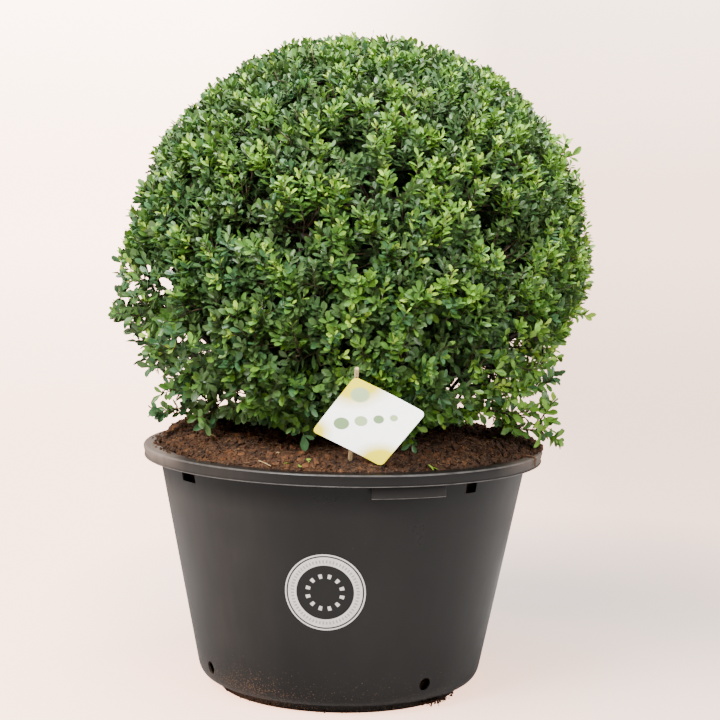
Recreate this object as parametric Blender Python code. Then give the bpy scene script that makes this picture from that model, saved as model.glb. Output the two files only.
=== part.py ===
"""Japanese holly clipped to a ball, in a dark grey nursery pot.

Metres, +Z up. The origin is the middle of the pot's flat underside, and the plant's front faces -Y.
An azimuth is in degrees round the pot: 0 at the front, 90 at +X.
"""

import math
import random

import bmesh
import bpy
from mathutils import Euler, Matrix, Vector, noise

# Clearance kept between two pieces that touch on the real plant
GAP = 0.0003

# Pot, a 65 litre nursery container
POT_HEIGHT = 0.366
RIM_RADIUS = 0.300
RIM_WIDTH = 0.024
RIM_ROUNDING = 0.003
RIM_BULGE = 0.3
SKIRT_HEIGHT = 0.018
SKIRT_SPREAD = 0.003
WALL = 0.003
WALL_TOP_RADIUS = 0.2785
WALL_FOOT_RADIUS = 0.2138
CORNER_HEIGHT = 0.036
CORNER_INSET = 0.028
CORNER_STEPS = 4
FOOT_RADIUS = 0.182
FOOT_HEIGHT = 0.0126
FOOT_CHAMFER = 0.002
FLOOR = 0.004
ROUND_STEPS = 40

# Openings and lugs round the pot
GRIP_SLOTS = ((-53.5, 0.034, 0.329), (42.3, 0.020, 0.328), (126.5, 0.034, 0.329), (-137.7, 0.020, 0.328))
GRIP_SLOT_TOP = 0.346
DRAIN_AZIMUTHS = (-60.5, 35.7, 150.0)
DRAIN_HEIGHT = 0.0435
DRAIN_RADIUS = 0.0095
DRAIN_SIDES = 12
CUTTER_DEPTH = 0.024
LUG_AZIMUTHS = (19.5, 199.5)
LUG_SPAN = 22.0
LUG_RADIUS = 0.287
LUG_BOTTOM = 0.330
LUG_STEPS = 6

# Potting soil, a low mound that rises to the stem
SOIL_EDGE = 0.362
SOIL_RINGS = ((0.267, 0.3675), (0.248, 0.375), (0.222, 0.381), (0.190, 0.386), (0.150, 0.390), (0.105, 0.392))
SOIL_FLAT_RADIUS = 0.056
SOIL_TOP = 0.394
SOIL_BUMP = 0.0035
SOIL_BUMP_SIZE = 0.045
SOIL_CRUMB_SHARE = 0.5
SOIL_CRUMB_SCALE = 2.3
CLUMP_AZIMUTH = 90.0
CLUMP_SPREAD = 22.0
CLUMP_RADIUS = 0.262
CLUMP_WIDTH = 0.024
CLUMP_HEIGHT = 0.014

# Clipped crown: a ball that is a little taller above its middle than below it
CROWN_MIDDLE = Vector((0.012, 0.0, 0.600))
CROWN_RADIUS = 0.350
CROWN_RISE = 0.375
CROWN_DROP = 0.215
RISE_POWER = 2.15
DROP_POWER = 2.3

# Trunk, from its flat cut on the soil to the leader's tip
TRUNK_FOOT = Vector((0.010, 0.003, SOIL_TOP + GAP))
TRUNK_SIDES = 12
TRUNK_LOBES = 4
LEADER_SHARE = 0.44
TRUNK_STATIONS = (
    (0.000, 0.0340, 0.13, 0.000, 0.000),
    (0.009, 0.0275, 0.08, 0.000, 0.000),
    (0.026, 0.0240, 0.04, 0.001, 0.001),
    (0.060, 0.0220, 0.00, 0.003, 0.002),
    (0.100, 0.0190, 0.00, 0.004, 0.000),
    (0.145, 0.0150, 0.00, 0.001, -0.003),
    (0.210, 0.0120, 0.00, -0.003, -0.002),
    (0.300, 0.0100, 0.00, -0.001, 0.001),
)
LEADER_TIP_RADIUS = 0.008

# Boughs, five low and five high, each to the foot of its own mass of foliage
TIER_COUNT = 5
TIER_ELEVATION = 26.565
HIGH_START = 180.0
LOW_START = 0.0
LOW_FORK = 0.456
HIGH_FORK = 0.502
FORK_STAGGER = 0.005
FORK_ORDER = 2
BOUGH_SIDES = 6
BOUGH_STEPS = 4
BOUGH_FOOT_RADIUS = 0.0105
BOUGH_TIP_RADIUS = 0.0062
LOW_TIP = (0.104, -0.086)
LOW_BEND = (0.045, -0.098)
HIGH_TIP = (0.152, 0.046)
HIGH_BEND = (0.078, -0.048)

# Masses of foliage, as shares of the crown's reach from its middle
HUB_SHARE = 0.70
CORE_INNER = 0.59
CORE_OUTER = 0.890
CORE_FILL = 0.985
CORE_ROUNDS = 10
CORE_SECTION = ((0.50, 1.00), (0.90, 0.98), (1.00, 0.88), (0.97, -0.55), (0.72, -1.00))
CORE_LUMP = 0.012
CORE_LUMP_SIZE = 0.11
CORE_ABOVE_SOIL = 0.014
CELL_MARGIN = 0.0015
OPEN_CONE = 15.0
STEM_SIDES = 6
STEM_STEPS = 3
STEM_RADIUS = 0.0058
ARM_SHARE = 0.80
ARM_LEAN = 20.0
ARM_RADIUS = 0.0050
TWIG_RADIUS = 0.0036
TWIG_TIP_RADIUS = 0.0022
TWIG_SIDES = 3

# Sprays, each a twig with a leaf at its tip and a pair below it
SPRAY_COUNT = 134
SPRAY_TRIES = 20
SPRAY_SHARE = (0.970, 1.004)
SPRAY_SLACK = 0.012
SPRAY_PULL = 0.14
SPRAY_LEAN = (42.0, 68.0)
SOIL_CLEARANCE = 0.008
LIMB_CLEARANCE = 0.004
LABEL_CLEARANCE = 0.012
LEAF_LENGTH = (0.060, 0.074)
LEAF_WIDTH = 0.60
LEAF_THICKNESS = 0.050
LEAF_WAIST = 0.58
LEAF_SUNK = 0.012
LEAF_FACES = ((0, 1, 4), (1, 2, 4), (2, 3, 4), (3, 0, 4), (1, 0, 5), (2, 1, 5), (3, 2, 5), (0, 3, 5))
TIP_FACE_OUT = 0.6
TIP_FACE_UP = 0.5
TIP_FACE_ROLL = 0.6
PAIR_LENGTH = 0.92
PAIR_DROP = 0.006
PAIR_ANGLE = 62.0
PAIR_ANGLE_CHANGE = 10.0
PAIR_FACE_UP = 0.3

# Tips of the shoots that have grown out past the clipped face
STRAY_TIPS = (
    Vector((0.323, -0.020, 0.840)),
    Vector((-0.294, -0.030, 0.405)),
    Vector((0.330, -0.030, 0.430)),
    Vector((0.311, 0.030, 0.402)),
    Vector((-0.150, 0.335, 0.800)),
    Vector((0.190, 0.315, 0.420)),
)
STRAY_LEAF = 0.034
STRAY_STEP = 0.022
STRAY_PAIRS = 2

# Label: a stick pushed into the soil in front, with a card on it
STICK_FOOT = Vector((0.0117, -0.2457, 0.3769))
STICK_LEAN = 37.0
STICK_SLANT = 2.9
STICK_TWIST = -7.0
STICK_LENGTH = 0.177
STICK_SUNK = 0.060
STICK_POINT = 0.016
STICK_POINT_RADIUS = 0.001
STICK_RADIUS = 0.0030
STICK_SIDES = 8
CARD_SIZE = (0.110, 0.126)
CARD_THICKNESS = 0.0008
CARD_CORNER = 0.007
CARD_CORNER_STEPS = 4
CARD_TURN = 25.0
CARD_MIDDLE = (0.0215, 0.0853)

SEED = 65


def clear_scene():
    """Empty the scene, without reopening the file."""
    for item in list(bpy.data.objects):
        bpy.data.objects.remove(item, do_unlink=True)
    for mesh in list(bpy.data.meshes):
        bpy.data.meshes.remove(mesh)


def plain_material(name, color, roughness, metallic=0.0):
    """A Principled material."""
    material = bpy.data.materials.new(name)
    material.use_nodes = True
    shader = material.node_tree.nodes["Principled BSDF"]
    shader.inputs["Base Color"].default_value = (*color, 1.0)
    shader.inputs["Roughness"].default_value = roughness
    shader.inputs["Metallic"].default_value = metallic
    material.diffuse_color = (*color, 1.0)
    return material


def pot_plastic():
    return plain_material("pot_plastic", (0.050, 0.047, 0.047), 0.50)


def potting_soil():
    return plain_material("potting_soil", (0.085, 0.042, 0.022), 0.95)


def holly_bark():
    return plain_material("holly_bark", (0.200, 0.155, 0.110), 0.85)


def holly_foliage():
    return plain_material("holly_foliage", (0.075, 0.180, 0.035), 0.55)


def label_bamboo():
    return plain_material("label_bamboo", (0.620, 0.480, 0.270), 0.60)


def label_paper():
    return plain_material("label_paper", (0.850, 0.850, 0.820), 0.45)


def mesh_object(name, vertices, faces, material, smooth_angle=40.0):
    """An object from points and faces, its faces turned outwards and its round sides shaded smooth."""
    mesh = bpy.data.meshes.new(name)
    mesh.from_pydata([tuple(point) for point in vertices], [], faces)
    shape = bmesh.new()
    shape.from_mesh(mesh)
    bmesh.ops.remove_doubles(shape, verts=shape.verts, dist=1e-6)
    bmesh.ops.recalc_face_normals(shape, faces=shape.faces)
    shape.to_mesh(mesh)
    shape.free()
    mesh.materials.append(material)
    mesh.shade_smooth()
    mesh.set_sharp_from_angle(angle=math.radians(smooth_angle))
    item = bpy.data.objects.new(name, mesh)
    bpy.context.scene.collection.objects.link(item)
    return item


def applied(item):
    """Apply an object's modifiers."""
    depsgraph = bpy.context.evaluated_depsgraph_get()
    mesh = bpy.data.meshes.new_from_object(item.evaluated_get(depsgraph))
    item.modifiers.clear()
    old = item.data
    item.data = mesh
    name = old.name
    bpy.data.meshes.remove(old)
    mesh.name = name


def combine(item, others, operation):
    """Join other objects to an item, or cut them from it, with one Boolean, and remove them."""
    group = bpy.data.collections.new("joined_to_" + item.name)
    bpy.context.scene.collection.children.link(group)
    for other in others:
        bpy.context.scene.collection.objects.unlink(other)
        group.objects.link(other)
    boolean = item.modifiers.new("combine", "BOOLEAN")
    boolean.operation = operation
    boolean.operand_type = "COLLECTION"
    boolean.collection = group
    boolean.solver = "EXACT"
    applied(item)
    for other in others:
        mesh = other.data
        bpy.data.objects.remove(other, do_unlink=True)
        bpy.data.meshes.remove(mesh)
    bpy.data.collections.remove(group)


def keep_body(item):
    """Keep an object's largest shell: sealed hollows are filled and loose scraps are dropped."""
    shape = bmesh.new()
    shape.from_mesh(item.data)
    left = set(shape.verts)
    shells = []
    while left:
        front = [left.pop()]
        shell = list(front)
        while front:
            vertex = front.pop()
            for edge in vertex.link_edges:
                other = edge.other_vert(vertex)
                if other in left:
                    left.remove(other)
                    shell.append(other)
                    front.append(other)
        shells.append(shell)
    shells.sort(key=len, reverse=True)
    scraps = [vertex for shell in shells[1:] for vertex in shell]
    bmesh.ops.delete(shape, geom=scraps, context="VERTS")
    bmesh.ops.triangulate(shape, faces=shape.faces)
    bmesh.ops.dissolve_degenerate(shape, dist=1e-6, edges=shape.edges)
    bmesh.ops.triangulate(shape, faces=shape.faces)
    shape.to_mesh(item.data)
    shape.free()


def bearing(azimuth):
    """Unit vector on the level at an azimuth in degrees: 0 to the front, 90 to +X."""
    angle = math.radians(azimuth)
    return Vector((math.sin(angle), -math.cos(angle), 0.0))


def tangents(heading):
    """Two unit vectors square to a heading, the first as near to upright as it can be."""
    upright = Vector((0, 0, 1)) if abs(heading.z) < 0.9 else Vector((0, 1, 0))
    first = (upright - heading * upright.dot(heading)).normalized()
    return first, heading.cross(first)


def curve_points(start, bend, end, steps):
    """Points of a quadratic curve, its ends included."""
    shares = [step / steps for step in range(steps + 1)]
    return [start * (1 - t) ** 2 + bend * (2 * t * (1 - t)) + end * t ** 2 for t in shares]


def turned(name, profile, material, steps=ROUND_STEPS, lift=None):
    """A profile of (radius, height) from axis to axis, turned about Z.

    A lift is a function of x, y and z that raises the points of a ring which is marked in the profile.
    """
    vertices = []
    rings = []
    for radius, height, *marked in profile:
        count = steps if radius > 0 else 1
        ring = []
        for step in range(count):
            angle = 2 * math.pi * step / steps
            x = radius * math.cos(angle)
            y = radius * math.sin(angle)
            z = lift(x, y, height) if marked else height
            ring.append(len(vertices))
            vertices.append((x, y, z))
        rings.append(ring)
    faces = []
    for low, high in zip(rings, rings[1:]):
        for step in range(steps):
            after = (step + 1) % steps
            corners = [low[step % len(low)], low[after % len(low)], high[after % len(high)], high[step % len(high)]]
            faces.append(list(dict.fromkeys(corners)))
    return mesh_object(name, vertices, faces, material)


def tube_mesh(path, radii, sides, lobes=None):
    """Points and faces of a tapering limb along a path, its flat ends square to the path.

    Lobes are shares by which each ring's radius swells and shrinks round it, as at a root flare.
    """
    vertices = []
    normal = None
    for index, point in enumerate(path):
        ahead = path[min(index + 1, len(path) - 1)]
        behind = path[max(index - 1, 0)]
        tangent = (ahead - behind).normalized()
        if normal is None:
            normal = tangents(tangent)[0]
        normal = (normal - tangent * normal.dot(tangent)).normalized()
        across = tangent.cross(normal)
        for side in range(sides):
            angle = 2 * math.pi * side / sides
            swell = 1 + (lobes[index] * math.cos(TRUNK_LOBES * angle) if lobes else 0)
            outward = normal * math.cos(angle) + across * math.sin(angle)
            vertices.append(point + outward * (radii[index] * swell))
    faces = [list(range(sides))[::-1]]
    for ring in range(len(path) - 1):
        for side in range(sides):
            after = (side + 1) % sides
            first = ring * sides
            faces.append([first + side, first + after, first + sides + after, first + sides + side])
    last = (len(path) - 1) * sides
    faces.append([last + side for side in range(sides)])
    return vertices, faces


def limb(name, path, radii, sides, material, lobes=None):
    """A tapering limb as an object."""
    vertices, faces = tube_mesh(path, radii, sides, lobes)
    return mesh_object(name, vertices, faces, material)


def even_taper(start, end, count):
    """Radii that fall evenly from start to end."""
    return [start + (end - start) * index / (count - 1) for index in range(count)]


def wall_slope():
    """How far the pot's wall spreads for each metre of height."""
    return (WALL_TOP_RADIUS - WALL_FOOT_RADIUS) / (POT_HEIGHT - WALL - CORNER_HEIGHT)


def inner_radius(height):
    """Radius of the pot's inner wall at a height above its rounded corner."""
    return WALL_FOOT_RADIUS - WALL + wall_slope() * (height - CORNER_HEIGHT)


def corner_points(inset, lift):
    """The pot's rounded lower corner, from the foot out to the wall."""
    start = Vector((WALL_FOOT_RADIUS - CORNER_INSET - inset, FOOT_HEIGHT + lift))
    end = Vector((WALL_FOOT_RADIUS - inset, CORNER_HEIGHT))
    bend = Vector((end.x - wall_slope() * (end.y - start.y), start.y))
    return [(point.x, point.y) for point in curve_points(start, bend, end, CORNER_STEPS)]


def inner_profile(clearance):
    """The inside of the pot from the middle of its floor up to its rounded corner's end."""
    floor = FLOOR + clearance
    well = FOOT_RADIUS - WALL - clearance
    return [(0.0, floor), (well, floor)] + corner_points(WALL + clearance, WALL + clearance)


def pot_profile():
    """The pot's section: underside, foot, corner, wall, hollow skirt, rim, then down inside to the floor."""
    under_rim = POT_HEIGHT - WALL
    skirt_bottom = POT_HEIGHT - SKIRT_HEIGHT
    skirt_foot = RIM_RADIUS - SKIRT_SPREAD
    outside = [(0.0, 0.0), (FOOT_RADIUS - FOOT_CHAMFER, 0.0), (FOOT_RADIUS, FOOT_CHAMFER)]
    outside += [(FOOT_RADIUS, FOOT_HEIGHT)] + corner_points(0.0, 0.0)
    rim = [
        (WALL_TOP_RADIUS, under_rim),
        (RIM_RADIUS - WALL - RIM_ROUNDING / 2, under_rim),
        (skirt_foot - WALL, skirt_bottom),
        (skirt_foot, skirt_bottom),
        (RIM_RADIUS, POT_HEIGHT - RIM_ROUNDING),
        (RIM_RADIUS - RIM_ROUNDING * RIM_BULGE, POT_HEIGHT - RIM_ROUNDING * RIM_BULGE),
        (RIM_RADIUS - RIM_ROUNDING, POT_HEIGHT),
        (RIM_RADIUS - RIM_WIDTH, POT_HEIGHT),
    ]
    return outside + rim + inner_profile(0.0)[::-1]


def facing(azimuth, radius, height):
    """Matrix that puts a shape at an azimuth with its -Y side facing outwards."""
    place = Matrix.Translation(bearing(azimuth) * radius + Vector((0, 0, height)))
    return place @ Matrix.Rotation(math.radians(azimuth), 4, "Z")


def block(name, size, matrix, material):
    """A box, centred where a matrix puts it."""
    shape = bmesh.new()
    bmesh.ops.create_cube(shape, size=1.0)
    bmesh.ops.transform(shape, matrix=matrix @ Matrix.Diagonal((*size, 1.0)), verts=shape.verts)
    mesh = bpy.data.meshes.new(name)
    shape.to_mesh(mesh)
    shape.free()
    mesh.materials.append(material)
    item = bpy.data.objects.new(name, mesh)
    bpy.context.scene.collection.objects.link(item)
    return item


def make_lug(name, azimuth, material):
    """A curved plate that hangs from the rim inside the skirt."""
    top = POT_HEIGHT - WALL / 2
    vertices = []
    for step in range(LUG_STEPS + 1):
        out = bearing(azimuth + LUG_SPAN * (step / LUG_STEPS - 0.5))
        for radius, height in ((-1, LUG_BOTTOM), (1, LUG_BOTTOM), (1, top), (-1, top)):
            vertices.append(out * (LUG_RADIUS + radius * WALL / 2) + Vector((0, 0, height)))
    faces = [[3, 2, 1, 0], [4 * LUG_STEPS + side for side in range(4)]]
    for step in range(LUG_STEPS):
        for side in range(4):
            after = (side + 1) % 4
            first = 4 * step
            faces.append([first + side, first + after, first + 4 + after, first + 4 + side])
    return mesh_object(name, vertices, faces, material)


def make_pot(material):
    """The turned pot with its lugs joined on, and its grip slots and drain holes cut."""
    pot = turned("pot", pot_profile(), material)
    lugs = [make_lug(f"lug_{index}", azimuth, material) for index, azimuth in enumerate(LUG_AZIMUTHS)]
    combine(pot, lugs, "UNION")
    cutters = []
    for azimuth, width, bottom in GRIP_SLOTS:
        height = GRIP_SLOT_TOP - bottom
        middle = (GRIP_SLOT_TOP + bottom) / 2
        place = facing(azimuth, inner_radius(middle), middle)
        cutters.append(block("slot_cutter", (width, CUTTER_DEPTH, height), place, material))
    for azimuth in DRAIN_AZIMUTHS:
        place = bearing(azimuth) * inner_radius(DRAIN_HEIGHT) + Vector((0, 0, DRAIN_HEIGHT))
        reach = bearing(azimuth) * (CUTTER_DEPTH / 2)
        path = [place - reach, place + reach]
        cutters.append(limb("drain_cutter", path, [DRAIN_RADIUS] * 2, DRAIN_SIDES, material))
    combine(pot, cutters, "DIFFERENCE")
    return pot


def soil_height(x, y, height):
    """Height of the soil's face: the mound's own height with clods, and a clump against the rim."""
    radius = math.hypot(x, y)
    point = Vector((x, y, 0.0)) / SOIL_BUMP_SIZE
    rough = noise.noise(point) + SOIL_CRUMB_SHARE * noise.noise(point * SOIL_CRUMB_SCALE)
    away = (math.degrees(math.atan2(x, -y)) - CLUMP_AZIMUTH) / CLUMP_SPREAD
    clump = math.exp(-away ** 2 - ((radius - CLUMP_RADIUS) / CLUMP_WIDTH) ** 2)
    return height + SOIL_BUMP * rough + CLUMP_HEIGHT * clump


def make_soil(material):
    """Soil that fills the pot, with a flat place for the trunk."""
    inside = inner_profile(GAP)
    wall_top = (inner_radius(SOIL_EDGE) - GAP, SOIL_EDGE)
    face = [(radius, height, True) for radius, height in SOIL_RINGS]
    flat = [(SOIL_FLAT_RADIUS, SOIL_TOP), (0.0, SOIL_TOP)]
    return turned("soil", inside + [wall_top] + face + flat, material, lift=soil_height)


def crown_reach(heading):
    """How far the clipped crown reaches from its middle along a unit vector."""
    across = math.hypot(heading.x, heading.y) / CROWN_RADIUS
    along = heading.z / CROWN_RISE if heading.z > 0 else -heading.z / CROWN_DROP
    power = RISE_POWER if heading.z > 0 else DROP_POWER
    return (across ** power + along ** power) ** (-1 / power)


def crown_point(heading, share):
    """The point at a share of the crown's reach along a unit vector from its middle."""
    return CROWN_MIDDLE + heading * (crown_reach(heading) * share)


def crown_share(point):
    """The share of the crown's reach at which a point lies."""
    offset = point - CROWN_MIDDLE
    return offset.length / crown_reach(offset.normalized())


def lobe_heading(azimuth, elevation):
    """Unit vector from the crown's middle through a mass of foliage."""
    rise = math.radians(elevation)
    return bearing(azimuth) * math.cos(rise) + Vector((0, 0, math.sin(rise)))


def lobes():
    """Every mass's name and heading: one on top, then a high and a low ring of five."""
    found = {"foliage_top": Vector((0.0, 0.0, 1.0))}
    turn = 360.0 / TIER_COUNT
    for index in range(TIER_COUNT):
        found[f"foliage_high_{index + 1}"] = lobe_heading(HIGH_START + turn * index, TIER_ELEVATION)
    for index in range(TIER_COUNT):
        found[f"foliage_low_{index + 1}"] = lobe_heading(LOW_START + turn * index, -TIER_ELEVATION)
    return found


def below_crown(heading):
    """For a low mass, a heading under it that bounds its space at the open cone round the trunk."""
    if heading.z >= 0:
        return []
    out = Vector((heading.x, heading.y, 0)).normalized()
    cone = math.radians(OPEN_CONE)
    square = out * math.cos(cone) + Vector((0, 0, math.sin(cone)))
    return [heading - square * (2 * heading.dot(square))]


def in_cell(point, heading, headings):
    """Whether a point lies in a mass's own space, nearer to its heading than to any other."""
    offset = point - CROWN_MIDDLE
    for other in headings:
        if other == heading:
            continue
        if offset.dot((heading - other).normalized()) < CELL_MARGIN:
            return False
    return True


def cell_angle(heading, direction, headings):
    """Angle from a mass's heading to the edge of its space, leaning in a direction square to the heading."""
    angles = [math.pi]
    for other in headings:
        lean = direction.dot(other)
        if other != heading and lean > 1e-6:
            angles.append(math.atan2(1 - heading.dot(other), lean))
    return min(angles)


def trunk_path():
    """Path, radii and lobes of the trunk and its leader."""
    path = []
    for height, _, _, x, y in TRUNK_STATIONS:
        path.append(TRUNK_FOOT + Vector((x, y, height)))
    tip = crown_point(Vector((0, 0, 1)), LEADER_SHARE)
    path.append(tip)
    radii = [station[1] for station in TRUNK_STATIONS] + [LEADER_TIP_RADIUS]
    swell = [station[2] for station in TRUNK_STATIONS] + [0.0]
    return path, radii, swell


def axis_point(path, height):
    """The point of a rising path at a height."""
    for low, high in zip(path, path[1:]):
        if low.z <= height <= high.z:
            return low.lerp(high, (height - low.z) / (high.z - low.z))
    return path[-1]


def bough_path(heading, index, trunk):
    """Path of a bough from the trunk's axis to the foot of its mass, whose heading it follows round."""
    low = heading.z < 0
    fork = (LOW_FORK if low else HIGH_FORK) + FORK_STAGGER * (FORK_ORDER * index % TIER_COUNT)
    out = Vector((heading.x, heading.y, 0)).normalized()
    tip_out, tip_up = LOW_TIP if low else HIGH_TIP
    bend_out, bend_up = LOW_BEND if low else HIGH_BEND
    tip = CROWN_MIDDLE + out * tip_out + Vector((0, 0, tip_up))
    bend = CROWN_MIDDLE + out * bend_out + Vector((0, 0, bend_up))
    return curve_points(axis_point(trunk, fork), bend, tip, BOUGH_STEPS)


def make_bough(name, path, trunk, material):
    """A tapering bough whose foot fits round the trunk, clear of it."""
    bough = limb(name, path, even_taper(BOUGH_FOOT_RADIUS, BOUGH_TIP_RADIUS, len(path)), BOUGH_SIDES, material)
    centre, radii, swell = trunk
    wider = [radius + GAP for radius in radii]
    cutter = limb("trunk_cutter", centre, wider, TRUNK_SIDES, material, swell)
    combine(bough, [cutter], "DIFFERENCE")
    keep_body(bough)
    return bough


def core_point(outward, share):
    """A point of a core's face, with its lump, kept above the soil."""
    lump = CORE_LUMP * noise.noise(crown_point(outward, share) / CORE_LUMP_SIZE)
    point = crown_point(outward, share + lump)
    lowest = ground_below(point) + CORE_ABOVE_SOIL
    if point.z < lowest:
        point = CROWN_MIDDLE + (point - CROWN_MIDDLE) * ((CROWN_MIDDLE.z - lowest) / (CROWN_MIDDLE.z - point.z))
    return point


def make_core(name, heading, headings, material):
    """The dense inside of a mass: a curved block that nearly fills its space, with rounded edges and lumps."""
    first, second = tangents(heading)
    middle = (CORE_OUTER + CORE_INNER) / 2
    half = (CORE_OUTER - CORE_INNER) / 2
    vertices = [core_point(heading, CORE_OUTER)]
    for wide, rise in CORE_SECTION:
        for step in range(CORE_ROUNDS):
            angle = 2 * math.pi * step / CORE_ROUNDS
            direction = first * math.cos(angle) + second * math.sin(angle)
            lean = cell_angle(heading, direction, headings) * CORE_FILL * wide
            outward = heading * math.cos(lean) + direction * math.sin(lean)
            vertices.append(core_point(outward, middle + half * rise))
    vertices.append(core_point(heading, CORE_INNER))
    last = len(vertices) - 1
    faces = []
    for step in range(CORE_ROUNDS):
        after = (step + 1) % CORE_ROUNDS
        faces.append([0, 1 + step, 1 + after])
        faces.append([last, last - CORE_ROUNDS + after, last - CORE_ROUNDS + step])
        for ring in range(len(CORE_SECTION) - 1):
            low = 1 + ring * CORE_ROUNDS
            high = low + CORE_ROUNDS
            faces.append([low + step, high + step, high + after, low + after])
    return mesh_object(name, vertices, faces, material)


def leaf_points(root, tip, face):
    """The six points of a leaf: root, sides, tip, and the middle of its upper and lower face."""
    along = tip - root
    broad = along.cross(face).normalized()
    upward = broad.cross(along).normalized()
    waist = root + along * LEAF_WAIST
    half_width = broad * (along.length * LEAF_WIDTH / 2)
    half_depth = upward * (along.length * LEAF_THICKNESS / 2)
    return [root, waist + half_width, tip, waist - half_width, waist + half_depth, waist - half_depth]


def leaf_pair(point, along, face, length, rng):
    """Two leaves that leave a twig on opposite sides, each as its six points."""
    side = along.cross(face).normalized()
    spread = math.radians(PAIR_ANGLE + rng.uniform(-PAIR_ANGLE_CHANGE, PAIR_ANGLE_CHANGE))
    found = []
    for hand in (-1, 1):
        direction = along * math.cos(spread) + side * (hand * math.sin(spread))
        found.append(leaf_points(point, point + direction * length, face))
    return found


def distance_to_path(point, path):
    """Distance from a point to a path, and the share of the path at which it is least."""
    best = (math.inf, 0.0)
    for index, (start, end) in enumerate(zip(path, path[1:])):
        along = end - start
        share = max(0.0, min(1.0, (point - start).dot(along) / along.length_squared))
        distance = (point - start - along * share).length
        best = min(best, (distance, (index + share) / (len(path) - 1)))
    return best


def label_matrix():
    """The label's frame: X across the card, Z up along the stick, -Y out of the card's face."""
    turn = Euler((math.radians(STICK_LEAN), math.radians(STICK_SLANT), 0.0), "XYZ").to_matrix().to_4x4()
    twist = Matrix.Rotation(math.radians(STICK_TWIST), 4, "Z")
    return Matrix.Translation(STICK_FOOT) @ turn @ twist


def near_label(point, frame):
    """Whether a point lies close to the label's card or stick."""
    local = frame @ point
    reach = math.hypot(*CARD_SIZE) / 2 + LABEL_CLEARANCE
    off_middle = math.hypot(local.x - CARD_MIDDLE[0], local.z - CARD_MIDDLE[1])
    return off_middle < reach and abs(local.y) < LABEL_CLEARANCE


def ground_below(point):
    """Height of what lies under a point: soil inside the rim, or the rim."""
    radius = math.hypot(point.x, point.y)
    rings = sorted(SOIL_RINGS + ((SOIL_FLAT_RADIUS, SOIL_TOP), (0.0, SOIL_TOP)))
    if radius >= rings[-1][0]:
        return POT_HEIGHT
    for (near, near_height), (far, far_height) in zip(rings, rings[1:]):
        if near <= radius <= far:
            height = near_height + (far_height - near_height) * (radius - near) / (far - near)
            return soil_height(point.x, point.y, height)
    return POT_HEIGHT


class Space:
    """What a mass has to itself: its cell of the crown, clear of the soil, the limbs and the label."""

    def __init__(self, heading, headings, limbs):
        self.heading = heading
        self.headings = headings
        self.limbs = limbs
        self.label = label_matrix().inverted()

    def holds(self, points, stray=False):
        """Whether a twig or leaf with these points may stay."""
        limit = SPRAY_SHARE[1] + SPRAY_SLACK
        for point in points:
            if not in_cell(point, self.heading, self.headings):
                return False
            if not stray and crown_share(point) > limit:
                return False
            if point.z < ground_below(point) + SOIL_CLEARANCE:
                return False
            if near_label(point, self.label):
                return False
            if crown_share(point) < CORE_OUTER and self.near_limb(point):
                return False
        return True

    def near_limb(self, point):
        """Whether a point lies close to the trunk or a bough."""
        for path, radii in self.limbs:
            distance, share = distance_to_path(point, path)
            radius = radii[round(share * (len(radii) - 1))]
            if distance < radius + LIMB_CLEARANCE:
                return True
        return False


def arm_tips(heading):
    """Tips of the arms that fork from a mass's stem: one ahead, and one towards each corner of its space."""
    first, second = tangents(heading)
    tips = [crown_point(heading, ARM_SHARE)]
    lean = math.radians(ARM_LEAN)
    for index in range(TIER_COUNT):
        angle = 2 * math.pi * (index + 0.5) / TIER_COUNT
        direction = first * math.cos(angle) + second * math.sin(angle)
        outward = heading * math.cos(lean) + direction * math.sin(lean)
        tips.append(crown_point(outward, ARM_SHARE))
    return tips


def spray_headings(heading, headings):
    """Even headings over the crown's face, of which a mass takes those nearer to it than to any other."""
    golden = math.pi * (3 - math.sqrt(5))
    found = []
    for index in range(SPRAY_COUNT):
        z = 1 - (2 * index + 1) / SPRAY_COUNT
        radius = math.sqrt(1 - z * z)
        angle = golden * index
        outward = Vector((radius * math.cos(angle), radius * math.sin(angle), z))
        if max(headings, key=outward.dot) == heading:
            found.append(outward)
    return found


def twig_points(start, end):
    """Points and faces of a three-sided twig."""
    return tube_mesh([start, end], [TWIG_RADIUS, TWIG_TIP_RADIUS], TWIG_SIDES)


def grow_spray(outward, tips, space, rng):
    """One spray: a twig from the nearest arm, a leaf at its tip and a pair below, where they fit the space."""
    for attempt in range(SPRAY_TRIES):
        target = outward.lerp(space.heading, SPRAY_PULL * attempt / SPRAY_TRIES).normalized()
        first, second = tangents(target)
        angle = rng.uniform(0, 2 * math.pi)
        side = first * math.cos(angle) + second * math.sin(angle)
        lean = math.radians(rng.uniform(*SPRAY_LEAN))
        along = target * math.cos(lean) + side * math.sin(lean)
        length = rng.uniform(*LEAF_LENGTH)
        tip = crown_point(target, rng.uniform(*SPRAY_SHARE))
        end = tip - along * (length - LEAF_SUNK)
        roll = side.cross(target) * rng.uniform(-TIP_FACE_ROLL, TIP_FACE_ROLL)
        face = (target * TIP_FACE_OUT + Vector((0, 0, TIP_FACE_UP)) + roll).normalized()
        leaves = [leaf_points(tip - along * length, tip, face)]
        if not space.holds(leaves[0]):
            continue
        arm = min(tips, key=lambda point: (point - end).length)
        twig_along = (end - arm).normalized()
        pair_root = end - twig_along * PAIR_DROP
        pair_face = (target + Vector((0, 0, PAIR_FACE_UP))).normalized()
        pair_length = length * PAIR_LENGTH
        for leaf in leaf_pair(pair_root, (twig_along + target).normalized(), pair_face, pair_length, rng):
            if space.holds(leaf):
                leaves.append(leaf)
        return [twig_points(arm, end)] + [(leaf, LEAF_FACES) for leaf in leaves]
    return []


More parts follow.
